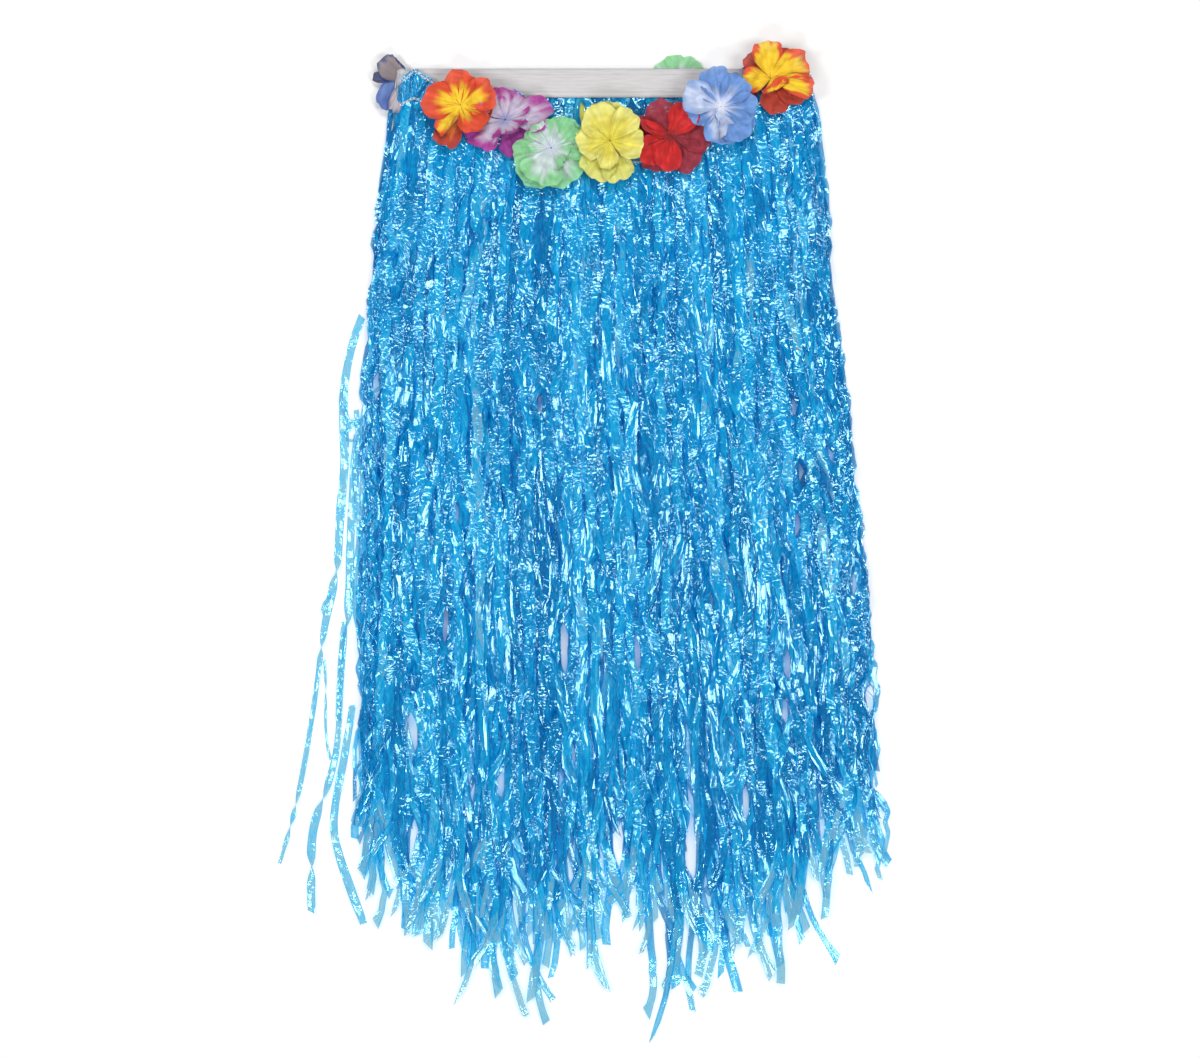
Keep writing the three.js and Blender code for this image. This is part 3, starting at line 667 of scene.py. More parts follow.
# ---- Elastic waistband ----
# One band of white woven elastic, 25 mm wide, its ends sewn together to a ring and pressed flat.
# The back stretch shows above the front heading, and the front stretch lies under that heading.
BAND_WIDE = 0.025
BAND_THICK = 0.001
BAND_ROWS = 120
BAND_COLUMNS = 10
BAND_RIB = 0.0012
BAND_PICK = 0.0008
BAND_TUCK = 0.0035
BAND_COLOUR = (0.70, 0.68, 0.69, 1)
BAND_GREY = (0.61, 0.59, 0.60, 1)
BAND_RELIEF = 0.00012
BAND_CLOUDS = (900.0, 45.0, 1.0)
BAND_SEAM_AT = 0.0075
FOLD_STEPS = 7
WELD = 1e-6


def multiplied(tree, colour, by):
    """A colour dimmed by a mask."""
    mix = added(tree, "Mix", {"Factor": 1.0}, {"A": colour, "B": by}, data_type="RGBA", blend_type="MULTIPLY")
    return mix.outputs["Result"]


def elastic_finish(name):
    """White woven elastic: ribs along the band, fine picks across it and a little grey in the weave."""
    material, tree, shader = finish(name, {"Roughness": 0.85})
    run = added(tree, "Attribute", attribute_name="run").outputs["Vector"]
    apart = added(tree, "SeparateXYZ", feeds={"Vector": run}).outputs
    ribs = maths(tree, "SINE", maths(tree, "MULTIPLY", apart["X"], 2 * math.pi / BAND_RIB))
    picks = maths(tree, "SINE", maths(tree, "MULTIPLY", apart["Y"], 2 * math.pi / BAND_PICK))
    weave = maths(tree, "MULTIPLY_ADD", picks, 0.5, ribs)
    bump = added(tree, "Bump", {"Distance": BAND_RELIEF}, {"Height": weave})
    tree.links.new(bump.outputs["Normal"], shader.inputs["Normal"])
    cloudy = noise(tree, run, BAND_CLOUDS, {"Detail": 3.0})
    shade = ramp(tree, cloudy, [(0.3, BAND_GREY), (0.6, BAND_COLOUR)])
    # Where the rubber threads end, near each edge, a slightly darker line runs along the band.
    from_line = maths(tree, "SUBTRACT", maths(tree, "ABSOLUTE", apart["X"]), BAND_SEAM_AT)
    dim = added(tree, "MapRange", {"From Min": 0.0003, "From Max": 0.0009, "To Min": 0.93, "To Max": 1.0},
                {"Value": maths(tree, "ABSOLUTE", from_line)})
    tree.links.new(multiplied(tree, shade, dim.outputs["Result"]), shader.inputs["Base Color"])
    return material


def distance_along(*axes):
    """How far each point of a line lies from its start."""
    steps = 0.0
    for axis in axes:
        steps = np.hypot(steps, np.diff(axis))
    return np.concatenate([[0], np.cumsum(steps)])


woven_elastic = elastic_finish("woven_elastic")
front_solid = LyingSolid("fringe_front", PARTINGS)
band_low, band_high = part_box("elastic_band")
fold = (band_high[2] - band_low[2] - BAND_THICK) / 2
band_x = np.linspace(band_low[0] + fold, band_high[0] - fold, BAND_ROWS)
front_edge = reach("elastic_band", X, band_x)[0]
slope = np.gradient(front_edge, band_x)
steep = np.sqrt(1 + slope ** 2)
under_heading = np.interp(band_x, front_solid.xs, front_solid.head) - (BAND_WIDE / 2 + BAND_TUCK) * steep
front_mid = np.minimum(front_edge + BAND_WIDE / 2 * steep, under_heading)
back_mid = np.full(BAND_ROWS, band_high[1] - BAND_WIDE / 2)
# The band's route: along the back, round the right fold, back along the front and round the left.
turns = np.linspace(-math.pi / 2, math.pi / 2, FOLD_STEPS)[1:-1]
z_low = band_low[2] + BAND_THICK / 2
z_mid = (band_low[2] + band_high[2]) / 2
route_x = np.concatenate([
    band_x, band_x[-1] + fold * np.cos(turns), band_x[::-1], band_x[0] - fold * np.cos(turns), band_x[:1]])
route_z = np.concatenate([
    np.full(BAND_ROWS, z_low), z_mid + fold * np.sin(turns), np.full(BAND_ROWS, z_low + 2 * fold),
    z_mid - fold * np.sin(turns), [z_low]])
route_y = np.concatenate([
    back_mid, np.interp(turns, [-2, 2], [back_mid[-1], front_mid[-1]]), front_mid[::-1],
    np.interp(turns, [-2, 2], [front_mid[0], back_mid[0]]), back_mid[:1]])
tilt = np.arctan(np.concatenate([np.zeros(BAND_ROWS + len(turns)), slope[::-1], np.zeros(len(turns) + 1)]))
edge = np.linspace(-0.5, 0.5, BAND_COLUMNS + 1)[None, :] * BAND_WIDE
band_run = distance_along(route_x, route_z, route_y)
band_grid = (len(route_x), BAND_COLUMNS + 1)
band_points = np.stack([
    route_x[:, None] - edge * np.sin(tilt)[:, None],
    route_y[:, None] + edge * np.cos(tilt)[:, None],
    np.broadcast_to(route_z[:, None], band_grid)], axis=-1)
band_places = np.stack([
    np.broadcast_to(edge, band_grid), np.broadcast_to(band_run[:, None], band_grid),
    np.zeros(band_grid)], axis=-1)
waistband = laid_grid("waistband", [{"points": band_points, "run": band_places}], woven_elastic)
welded = bmesh.new()
welded.from_mesh(waistband.data)
bmesh.ops.remove_doubles(welded, verts=welded.verts, dist=WELD)
welded.to_mesh(waistband.data)
welded.free()
thicken = waistband.modifiers.new("thickness", "SOLIDIFY")
thicken.thickness = BAND_THICK
thicken.offset = 0
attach(waistband, "root")
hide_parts("elastic_band")

# ---- Front half of the fringe ----
# The same run of film carried on round the folds: the strands that lie on top, gathered to the
# front of the waistband on a curve that hangs below its back.
FRONT_STRANDS = 230
FRONT_COARSE, FRONT_FINE = (0.009, 0.03, 3), (0.007, 0.0030, 6)
PIECE_QUADS = 85000

front_strands = fringe_half(np.random.default_rng(23), front_solid, FRONT_STRANDS, FRONT_COARSE, FRONT_FINE)
front_strands.sort(key=lambda strand: strand["points"][len(strand["points"]) // 2, 2, 2])
reached = np.cumsum([len(strand["points"][1:]) * len(strand["points"][0, 1:]) for strand in front_strands])
pieces = math.ceil(reached[-1] / PIECE_QUADS)
belongs_to = np.ceil(reached / reached[-1] * pieces).astype(int)
for number in range(1, pieces + 1):
    strands = [strand for strand, piece in zip(front_strands, belongs_to) if piece == number]
    raffia_front = laid_grid(f"raffia_front_{number}", strands, raffia, smooth=False)
    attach(raffia_front, "root")
    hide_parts("fringe_front")

# ---- Heading of the front half ----
# The heads of the strands are folded back and gathered into fine pleats, 25 mm deep, which cover
# the front stretch of the elastic. The pleats lean a little and catch the light.
HEADING_REACH = (-0.160, 0.186)
HEADING_DEEP = 0.0255
HEADING_PLIES = 3
HEADING_LEAN = 0.0035
PLY_APART = 0.0004
PLEAT_WIDE = 0.0026
PLEAT_HIGH = 0.00036
PLEAT_UNEVEN = 0.00012
HEADING_ROWS = 13
HEAD_SPAN = 25
HEAD_WAVER = ((0.011, 0.006), 0.0006)
LEAN_WAVER = ((0.09, 0.04), 0.002)
PLEAT_WAVER = ((0.02, 0.009), 0.5)
PLEAT_TONE = ((0.012, 0.007), 0.25)
HEADING_DARKER = 0.1
HEADING_CRUMPLE = 0.4
PLY_CLEAR = 0.0001
PLEATS_SQUEEZED = 2.2
PLY_CUT_APART = 9.0

rng = np.random.default_rng(31)
plies = []
along = np.arange(*HEADING_REACH, PLEAT_WIDE / 4)
down = np.linspace(0, 1, HEADING_ROWS)[:, None]
for ply in range(HEADING_PLIES):
    head = np.interp(along, front_solid.xs, front_solid.head)
    tilt = np.arctan(np.gradient(evened(head, HEAD_SPAN), along))
    head = head + waves(rng, along, *HEAD_WAVER)
    lean = HEADING_LEAN + waves(rng, along, *LEAN_WAVER)
    x = along - down * (lean - HEADING_DEEP * np.sin(tilt))
    y = head - down * (HEADING_DEEP * np.cos(tilt))
    phase = along / PLEAT_WIDE + waves(rng, along, *PLEAT_WAVER)
    tooth = 2 * np.abs(phase - np.floor(phase + 0.5))
    open_out = 0.4 + 0.6 * np.sin(math.pi * down)
    z = front_solid.at(front_solid.top, x.ravel(), y.ravel()).reshape(x.shape) + PLY_CLEAR + PLY_APART * ply
    z = z + PLEAT_HIGH * tooth * open_out + rng.normal(0, PLEAT_UNEVEN, x.shape)
    places = np.stack([
        np.broadcast_to(along * PLEATS_SQUEEZED, x.shape),
        np.broadcast_to(down * HEADING_DEEP, x.shape), np.full(x.shape, PLY_CUT_APART * ply)], axis=-1)
    tone = np.broadcast_to(waves(rng, along, *PLEAT_TONE) + TONE[0] - HEADING_DARKER, x.shape)
    plies.append({
        "points": np.stack([x, y, z], axis=-1), "tone": tone, "run": places,
        "crumple": np.full(x.shape, HEADING_CRUMPLE)})
heading = laid_grid("heading", plies, raffia, smooth=False)
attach(heading, "root")
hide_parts("fringe_front")

# ---- Chain stitching ----
# Two rows of white chain stitch run through the heading and hold the film to the elastic, one
# just below its top edge and one 22 mm further down. Each link is a small loop of cotton.
STITCH_ROWS = (0.0022, 0.0245)
STITCH_PITCH = 0.0034
LINK_LONG = 0.0046
LINK_WIDE = 0.0015
THREAD_RADIUS = 0.0002
STITCH_PROUD = 0.0012
LINK_ROLL = 0.22
LINK_UNEVEN = 0.12
LINK_CORNERS, LINK_STEPS = 5, 9
ROW_STEP = 0.0005
ROW_WAVER = ((0.03, 0.017), 0.0009)

cotton, cotton_tree, cotton_shader = finish("cotton_thread", {"Roughness": 0.8})
thread_place = added(cotton_tree, "TexCoord").outputs["Object"]
fibres = noise(cotton_tree, thread_place, values={"Scale": 2500.0})
cotton_shade = ramp(cotton_tree, fibres, [(0.0, (0.62, 0.60, 0.58, 1)), (1.0, (0.88, 0.86, 0.84, 1))])
cotton_tree.links.new(cotton_shade, cotton_shader.inputs["Base Color"])

link = bmesh.new()
ring = bmesh.ops.create_circle(link, segments=LINK_CORNERS, radius=THREAD_RADIUS)["verts"]
stand = Matrix.Translation((LINK_WIDE / 2, 0, 0)) @ Matrix.Rotation(math.pi / 2, 4, "X")
bmesh.ops.transform(link, matrix=stand, verts=ring)
bmesh.ops.spin(
    link, geom=link.verts[:] + link.edges[:], axis=(0, 0, 1), cent=(0, 0, 0), angle=2 * math.pi,
    steps=LINK_STEPS, use_merge=True)
bmesh.ops.scale(link, vec=(LINK_LONG / LINK_WIDE, 1, 1), verts=link.verts)
bmesh.ops.remove_doubles(link, verts=link.verts, dist=WELD)
link_data = bpy.data.meshes.new("link")
link.to_mesh(link_data)
link.free()
rng = np.random.default_rng(5)
stitches = bmesh.new()


def sew_chain(line_x, line_y, pitch):
    """Sets links end to end along a line on top of the heading."""
    walked = distance_along(line_x, line_y)
    for n, at in enumerate(np.arange(0, walked[-1] - pitch, pitch)):
        x, x_next = np.interp([at, at + pitch], walked, line_x)
        y, y_next = np.interp([at, at + pitch], walked, line_y)
        z = front_solid.at(front_solid.top, np.array([x]), np.array([y]))[0] + STITCH_PROUD
        sewn = len(stitches.verts)
        stitches.from_mesh(link_data)
        stitches.verts.ensure_lookup_table()
        place = Matrix.Translation((x, y, z)) @ Matrix.Rotation(math.atan2(y_next - y, x_next - x), 4, "Z")
        place = place @ Matrix.Rotation((-1) ** n * LINK_ROLL + rng.normal(0, LINK_UNEVEN), 4, "X")
        bmesh.ops.transform(stitches, matrix=place, verts=stitches.verts[sewn:])


for below in STITCH_ROWS:
    row_x = np.arange(*HEADING_REACH, ROW_STEP)
    row_y = np.interp(row_x, front_solid.xs, front_solid.head) - below
    sew_chain(row_x, row_y + waves(rng, row_x, *ROW_WAVER), STITCH_PITCH)
stitch_data = bpy.data.meshes.new("chain_stitching")
bmesh.ops.recalc_face_normals(stitches, faces=stitches.faces)
for face in stitches.faces:
    face.smooth = True
stitches.to_mesh(stitch_data)
stitches.free()
stitch_data.materials.append(cotton)
chain_stitching = bpy.data.objects.new("chain_stitching", stitch_data)
scene.collection.objects.link(chain_stitching)
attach(chain_stitching, "root")

# ---- Strands that have strayed out at the left ----
# Four strands of the same film have worked loose from the left fold and lie by themselves, and a
# few more leave the edge and come back to it. They are single film, so the table shows through.
STRAY_ROW = 0.003
STRAY_COLUMNS = 4
STRAY_TONE = 0.62
STRAY_Z = 0.0012
LOOSE_Z = 0.0022
STRAY_FLIP_EVERY = 0.16
STRAY_FLIP_HALF = 0.02
STRAY_LIFT = ((0.05, 0.03), 0.0005)
STRAY_TWIST = ((0.2, 0.09), 0.3)
STRAY_CUP = ((0.15, 0.07), 0.8)
STRAY_HEAT = ((0.12, 0.06), 0.8)
STRAY_CREASE = (0.0001, 0.0005)
STRAY_SLANT = 0.4
STRAY_READINGS = 24
STRAY_FROM_ENDS = 0.002
STRAY_CUPPED_BY = 1.15
CORNER_LONG = 0.02
CORNER_SPAN = 7


def smooth_route(run, walked, values):
    """A route's coordinate at each distance along it, with its corners rounded."""
    straight = np.interp(run, walked, values)
    share = np.clip(np.minimum(run, run[-1] - run) / CORNER_LONG, 0, 1)
    return straight * (1 - share) + evened(straight, CORNER_SPAN) * share


def stray_strand(rng, xs, ys, widths, z):
    """A strand along a given route, flat on the table but for its creases."""
    walked = distance_along(xs, ys)
    run = np.linspace(0, walked[-1], max(10, int(walked[-1] / STRAY_ROW)))
    x, y = smooth_route(run, walked, xs), smooth_route(run, walked, ys)
    width = np.interp(run, walked, widths)
    lift = z + waves(rng, run, *STRAY_LIFT)
    twist = waves(rng, run, *STRAY_TWIST)
    for _ in range(rng.poisson(walked[-1] / STRAY_FLIP_EVERY)):
        at = rng.uniform(0.1, 0.95) * walked[-1]
        twist += math.pi * smooth_step(at - STRAY_FLIP_HALF, at + STRAY_FLIP_HALF, run)
    cup = waves(rng, run, *STRAY_CUP)
    active = smooth_step(-0.1, 0.6, waves(rng, run, *STRAY_HEAT))
    high = rng.uniform(*STRAY_CREASE, len(run)) * rng.choice((-1, 0, 1), len(run)) * active
    crease = (high, rng.uniform(-0.5, 0.5, len(run)), rng.uniform(0.35, 1.3, len(run)))
    slant = waves(rng, run, SLANT_LENGTHS, STRAY_SLANT)
    centre = np.stack([x, y, lift], axis=1)
    points = strand_points(rng, centre, width, twist, cup, slant, crease, 1 - 0.8 * active, STRAY_COLUMNS)
    tone = np.full(points.shape[:2], STRAY_TONE)
    edge = edged(STRAY_COLUMNS)[None, :] * width[:, None]
    offset = rng.uniform(0, 40)
    return film_part(points, tone, active, edge, run, offset, 0.0, float(width.mean()), float(walked[-1]))


# Routes of the loose strands that belong to no CAD solid: each one's width, then its points.
LOOSE_ROUTES = [
    (0.0035, [
        (-0.2121, 0.1427), (-0.2168, 0.1238), (-0.2149, 0.1134), (-0.2092, 0.1079), (-0.1962, 0.1105)]),
    (0.0050, [(-0.2092, 0.1053), (-0.1984, 0.1108), (-0.1864, 0.1128)]),
    (0.0050, [(-0.2014, 0.0670), (-0.1884, 0.0783)]),
    (0.0028, [
        (-0.2049, 0.1035), (-0.2127, 0.1018), (-0.2153, 0.0966), (-0.2101, 0.0922), (-0.2011, 0.0940)]),
    (0.0022, [(-0.2228, -0.0432), (-0.2319, -0.0487), (-0.2327, -0.0557), (-0.2266, -0.0592)]),
    (0.0050, [(-0.1979, 0.0035), (-0.1923, -0.0270), (-0.1962, -0.0766)]),
    (0.0050, [(-0.2112, -0.0649), (-0.2150, -0.1050), (-0.2168, -0.1517)]),
    (0.0045, [(-0.2010, 0.1205), (-0.1945, 0.0383), (-0.1997, -0.0139), (-0.1910, -0.0487)]),
    (0.0055, [
        (-0.1927, 0.1253), (-0.2031, 0.0644), (-0.1962, 0.0122), (-0.2049, -0.0357), (-0.1960, -0.0900)]),
]

rng = np.random.default_rng(41)
strays = []
for node in ("strand_outer", "strand_thread", "strand_crinkled", "strand_low"):
    low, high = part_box(node)
    ys = np.linspace(high[1] - STRAY_FROM_ENDS, low[1] + STRAY_FROM_ENDS, STRAY_READINGS)
    left, right = reach(node, Y, ys)
    middle = (left + right) / 2
    widths = (right - left) / np.sqrt(1 + np.gradient(middle, ys) ** 2) * STRAY_CUPPED_BY
    strays.append(stray_strand(rng, middle, ys, widths, STRAY_Z))
for width, route in LOOSE_ROUTES:
    xs, ys = np.array(route).T
    strays.append(stray_strand(rng, xs, ys, np.full(len(xs), width), LOOSE_Z))
stray_strands = laid_grid("stray_strands", strays, raffia, smooth=False)
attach(stray_strands, "root")
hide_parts("strand_outer", "strand_thread", "strand_crinkled", "strand_low")

# ---- Flowers ----
# Twelve lei flowers of thin printed polyester, each two layers with up to six petals, the upper
# turned against the lower, sewn to the heading through the middle. Heat has set their pleats and
# curls. The dye runs from the throat to the rim.
PETAL_ROWS = 22
PETAL_COLUMNS = 18
HOLE = 0.015
LAYER_APART = 0.0013
FUSED = 80.0
WIDEN = 1.3
LYING_LIFT = 0.07
HEART_LOW = 0.0025
RISE_OVER = 0.022
PLEAT = 0.0007
PETAL_APART = 0.00016
PETAL_SINK = 0.0006
CRUSH_LIFT = 0.0013
DENTS = ((0.0010, 0.017), (0.0006, 0.010), (0.0003, 0.006))
DYES = {
    "orange": ((0.88, 0.66, 0.03), (0.88, 0.60, 0.02), (0.72, 0.07, 0.02)),
    "purple": ((0.30, 0.32, 0.52), (0.56, 0.49, 0.63), (0.42, 0.03, 0.30)),
    "green": ((0.62, 0.66, 0.76), (0.64, 0.75, 0.74), (0.27, 0.65, 0.31)),
    "yellow": ((0.70, 0.62, 0.06), (0.80, 0.72, 0.12), (0.78, 0.74, 0.20)),
    "red": ((0.30, 0.01, 0.01), (0.62, 0.012, 0.012), (0.60, 0.012, 0.014)),
    "blue": ((0.74, 0.75, 0.82), (0.56, 0.64, 0.84), (0.15, 0.31, 0.67)),
}


def curl(points, direction, start, radius, turn):
    """Bends the part of a petal that lies past a line round a cylinder, up or down, as cloth bends."""
    angle = math.radians(direction)
    cos, sin = math.cos(angle), math.sin(angle)
    u = points[..., 0] * cos + points[..., 1] * sin
    v = -points[..., 0] * sin + points[..., 1] * cos
    past = np.maximum(u - start, 0)
    limit = math.radians(abs(turn))
    way = 1 if turn > 0 else -1
    bent = np.minimum(past / radius, limit)
    rest = past - radius * bent
    z = points[..., 2]
    sin_bent, cos_bent = np.sin(bent), np.cos(bent)
    u_new = np.where(past > 0, start + radius * sin_bent + rest * cos_bent - way * z * sin_bent, u)
    z_new = np.where(past > 0, way * (radius * (1 - cos_bent) + rest * sin_bent) + z * cos_bent, z)
    return np.stack([u_new * cos - v * sin, u_new * sin + v * cos, z_new], axis=-1)


def dyed(shades, out, side, rim, soft, skew, grain):
    """The colour of a petal: throat, body and rim, running unevenly into each other."""
    throat, body, edge = (np.array(c) for c in shades)
    to_body = smooth_step(0.05, 0.35, out)[..., None]
    far_out = out + 0.1 * np.abs(side) + skew * side + grain
    to_rim = smooth_step(rim - soft, rim + soft, far_out)[..., None]
    colour = throat * (1 - to_body) + body * to_body
    return colour * (1 - to_rim) + edge * to_rim


def petal(
        rng, shades, angle, length, spread, lift=0.2, cup=0.07, notch=0.4, rim=0.75, soft=0.16, skew=0.0,
        pleat=PLEAT, ruffle=0.0018, curls=(), hole=HOLE):
    """One petal, cut as a fan, pleated, cupped and curled, with its dye at every point and painted shade and
    highlight along its pleats.
    """
    grid = (PETAL_ROWS + 1, PETAL_COLUMNS + 1)
    out = np.broadcast_to(np.linspace(hole, 1, PETAL_ROWS + 1)[:, None], grid)
    side = np.broadcast_to(np.linspace(-1, 1, PETAL_COLUMNS + 1)[None, :], out.shape)
    phase = rng.uniform(0, 6, 6)
    wavy = 0.03 * np.sin(5 * side + phase[0]) + 0.02 * np.sin(12 * side + phase[1])
    edge = 1 - notch * np.abs(side) ** 3 + wavy + 0.010 * np.sin(34 * side + phase[2])
    radius = length * edge * out
    wide = math.radians(spread * WIDEN)
    fan = side / 2 * (wide + max(math.radians(FUSED) - wide, 0) * np.clip(1 - out / 0.6, 0, 1))
    x, y = radius * np.cos(fan), radius * np.sin(fan)
    area = grid_area(np.stack([x, y, np.zeros_like(x)], axis=-1))
    z = lift * radius * (0.35 + 0.65 * out)
    z = z + cup * length * side ** 2 * smooth_step(0.2, 0.9, out)
    folds = np.cos(side * 9 + phase[2]) + 0.6 * np.cos(side * 17 + phase[3])
    z = z + pleat * folds * np.sin(math.pi * np.clip(out * 1.1, 0, 1) ** 0.8)
    z = z + ruffle * out ** 4 * np.sin(side * 5 + phase[4])
    points = np.stack([x, y, z], axis=-1)
    for direction, start, radius_of, turn in curls:
        points = curl(points, direction, start, radius_of, turn)
    cos, sin = math.cos(math.radians(angle)), math.sin(math.radians(angle))
    points = np.stack([
        points[..., 0] * cos - points[..., 1] * sin, points[..., 0] * sin + points[..., 1] * cos,
        points[..., 2]], axis=-1)
    veins = 1.6 * np.sin(side * 31 + phase[5]) + np.sin(side * 47 + phase[1])
    grain = 0.09 * np.sin(side * 5 + phase[0]) + 0.06 * np.sin(side * 11 + phase[4])
    grain = grain + 0.05 * np.sin(side * 19 + phase[1] + 4 * out)
    # Painted shade and highlight on the pleats: the colour is darker where a pleat rises and lighter where it
    # dips.
    veins_and_pleat_shade = (1 + 0.06 * veins * out - 0.06 * folds * out)[..., None]
    colour = dyed(shades, out, side, rim, soft, skew, grain) * veins_and_pleat_shade
    dye = np.ones((*out.shape, 4))
    dye[..., :3] = np.clip(colour, 0, 1)
    run = np.stack([x, y, np.zeros_like(x)], axis=-1)
    return {"points": points, "dye": dye, "run": run, "area": area}


def grid_area(points):
    """The area of a grid of points."""
    a, b = points[1:, 1:] - points[:-1, :-1], points[1:, :-1] - points[:-1, 1:]
    return float(np.linalg.norm(np.cross(a, b), axis=-1).sum() / 2)


def weave_group():
    """A fine plain weave: how much it darkens the cloth, and the way its threads turn the surface."""
    group = bpy.data.node_groups.new("plain_weave", "ShaderNodeTree")
    for name, way, kind, value in (
            ("Place", "INPUT", "Vector", None), ("Threads per metre", "INPUT", "Float", 1400.0),
            ("Depth", "INPUT", "Float", 0.0002), ("Shade", "OUTPUT", "Float", None),
            ("Normal", "OUTPUT", "Vector", None)):
        socket = group.interface.new_socket(name, in_out=way, socket_type="NodeSocket" + kind)
        if value is not None:
            socket.default_value = value
    given = group.nodes.new("NodeGroupInput")
    result = group.nodes.new("NodeGroupOutput")
    threads = added(group, "TexNoise", {"Detail": 2.0}, {
        "Vector": given.outputs["Place"], "Scale": given.outputs["Threads per metre"]}).outputs["Fac"]
    amount = added(group, "MapRange", {"From Min": 0.3, "From Max": 0.7, "To Min": 0.88, "To Max": 1.08},
                   {"Value": threads})
    bump = added(group, "Bump", {"Strength": 0.4}, {"Distance": given.outputs["Depth"], "Height": threads})
    group.links.new(amount.outputs["Result"], result.inputs["Shade"])
    group.links.new(bump.outputs["Normal"], result.inputs["Normal"])
    return group


plain_weave = weave_group()


def petal_finish(name, alpha):
    """Thin printed polyester cloth, woven plain."""
    material, tree, shader = finish(name, {"Roughness": 0.7, "Alpha": alpha, "Sheen Weight": 0.15})
    # The dye attribute also carries the painted shade and highlight along the pleats.
    dye = added(tree, "Attribute", attribute_name="dye").outputs["Color"]
    run = added(tree, "Attribute", attribute_name="run").outputs["Vector"]
    weave = added(tree, "Group", feeds={"Place": run}, node_tree=plain_weave).outputs
    tree.links.new(multiplied(tree, dye, weave["Shade"]), shader.inputs["Base Color"])
    tree.links.new(weave["Normal"], shader.inputs["Normal"])
    return material


def crush(number, x, y):
    """How the whole flower has been crushed: both its layers and every petal share the dents."""
    dents = np.random.default_rng(number)
    total = np.zeros_like(x)
    for size, long in DENTS:
        for way in dents.uniform(0, math.pi, 2):
            along_way = (x * math.cos(way) + y * math.sin(way)) / long * 2 * math.pi
            total += size * np.sin(along_way + dents.uniform(0, 6))
    return (CRUSH_LIFT + total) * smooth_step(0.004, 0.014, np.hypot(x, y))


def sew_layer(name, node, petals, heart, ground, level, material, high=1.0, crushed=1.0):
    """Lays one layer's petals round the middle of a flower on what is under them, as one piece."""
    for k, part in enumerate(petals):
        points = part["points"]
        x, y = points[..., 0] + heart[0], points[..., 1] + heart[1]
        risen = smooth_step(0.0, RISE_OVER, np.hypot(points[..., 0], points[..., 1]))
        z = ground(x, y) + min(level, HEART_LOW) + max(level - HEART_LOW, 0) * risen
        z = z + PETAL_APART * k + np.maximum(points[..., 2], -PETAL_SINK) * high
        z = z + crush(int(node[7:9]), points[..., 0], points[..., 1]) * crushed
        part["points"] = np.stack([x, y, z], axis=-1)
    piece = laid_grid(name, petals, material)
    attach(piece, "root")
    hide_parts(node)


CLOTH_ALPHA = {"orange": 0.94, "purple": 0.92, "green": 0.82, "yellow": 0.94, "red": 0.92, "blue": 0.9}
petal_cloths = {dye: petal_finish(f"petal_{dye}", CLOTH_ALPHA[dye]) for dye in DYES}


def cut(angle, length, spread, **shape):
    """A petal's cut: its direction and its spread in degrees, its length, and what sets it apart."""
    return dict(angle=angle, length=length, spread=spread, **shape)


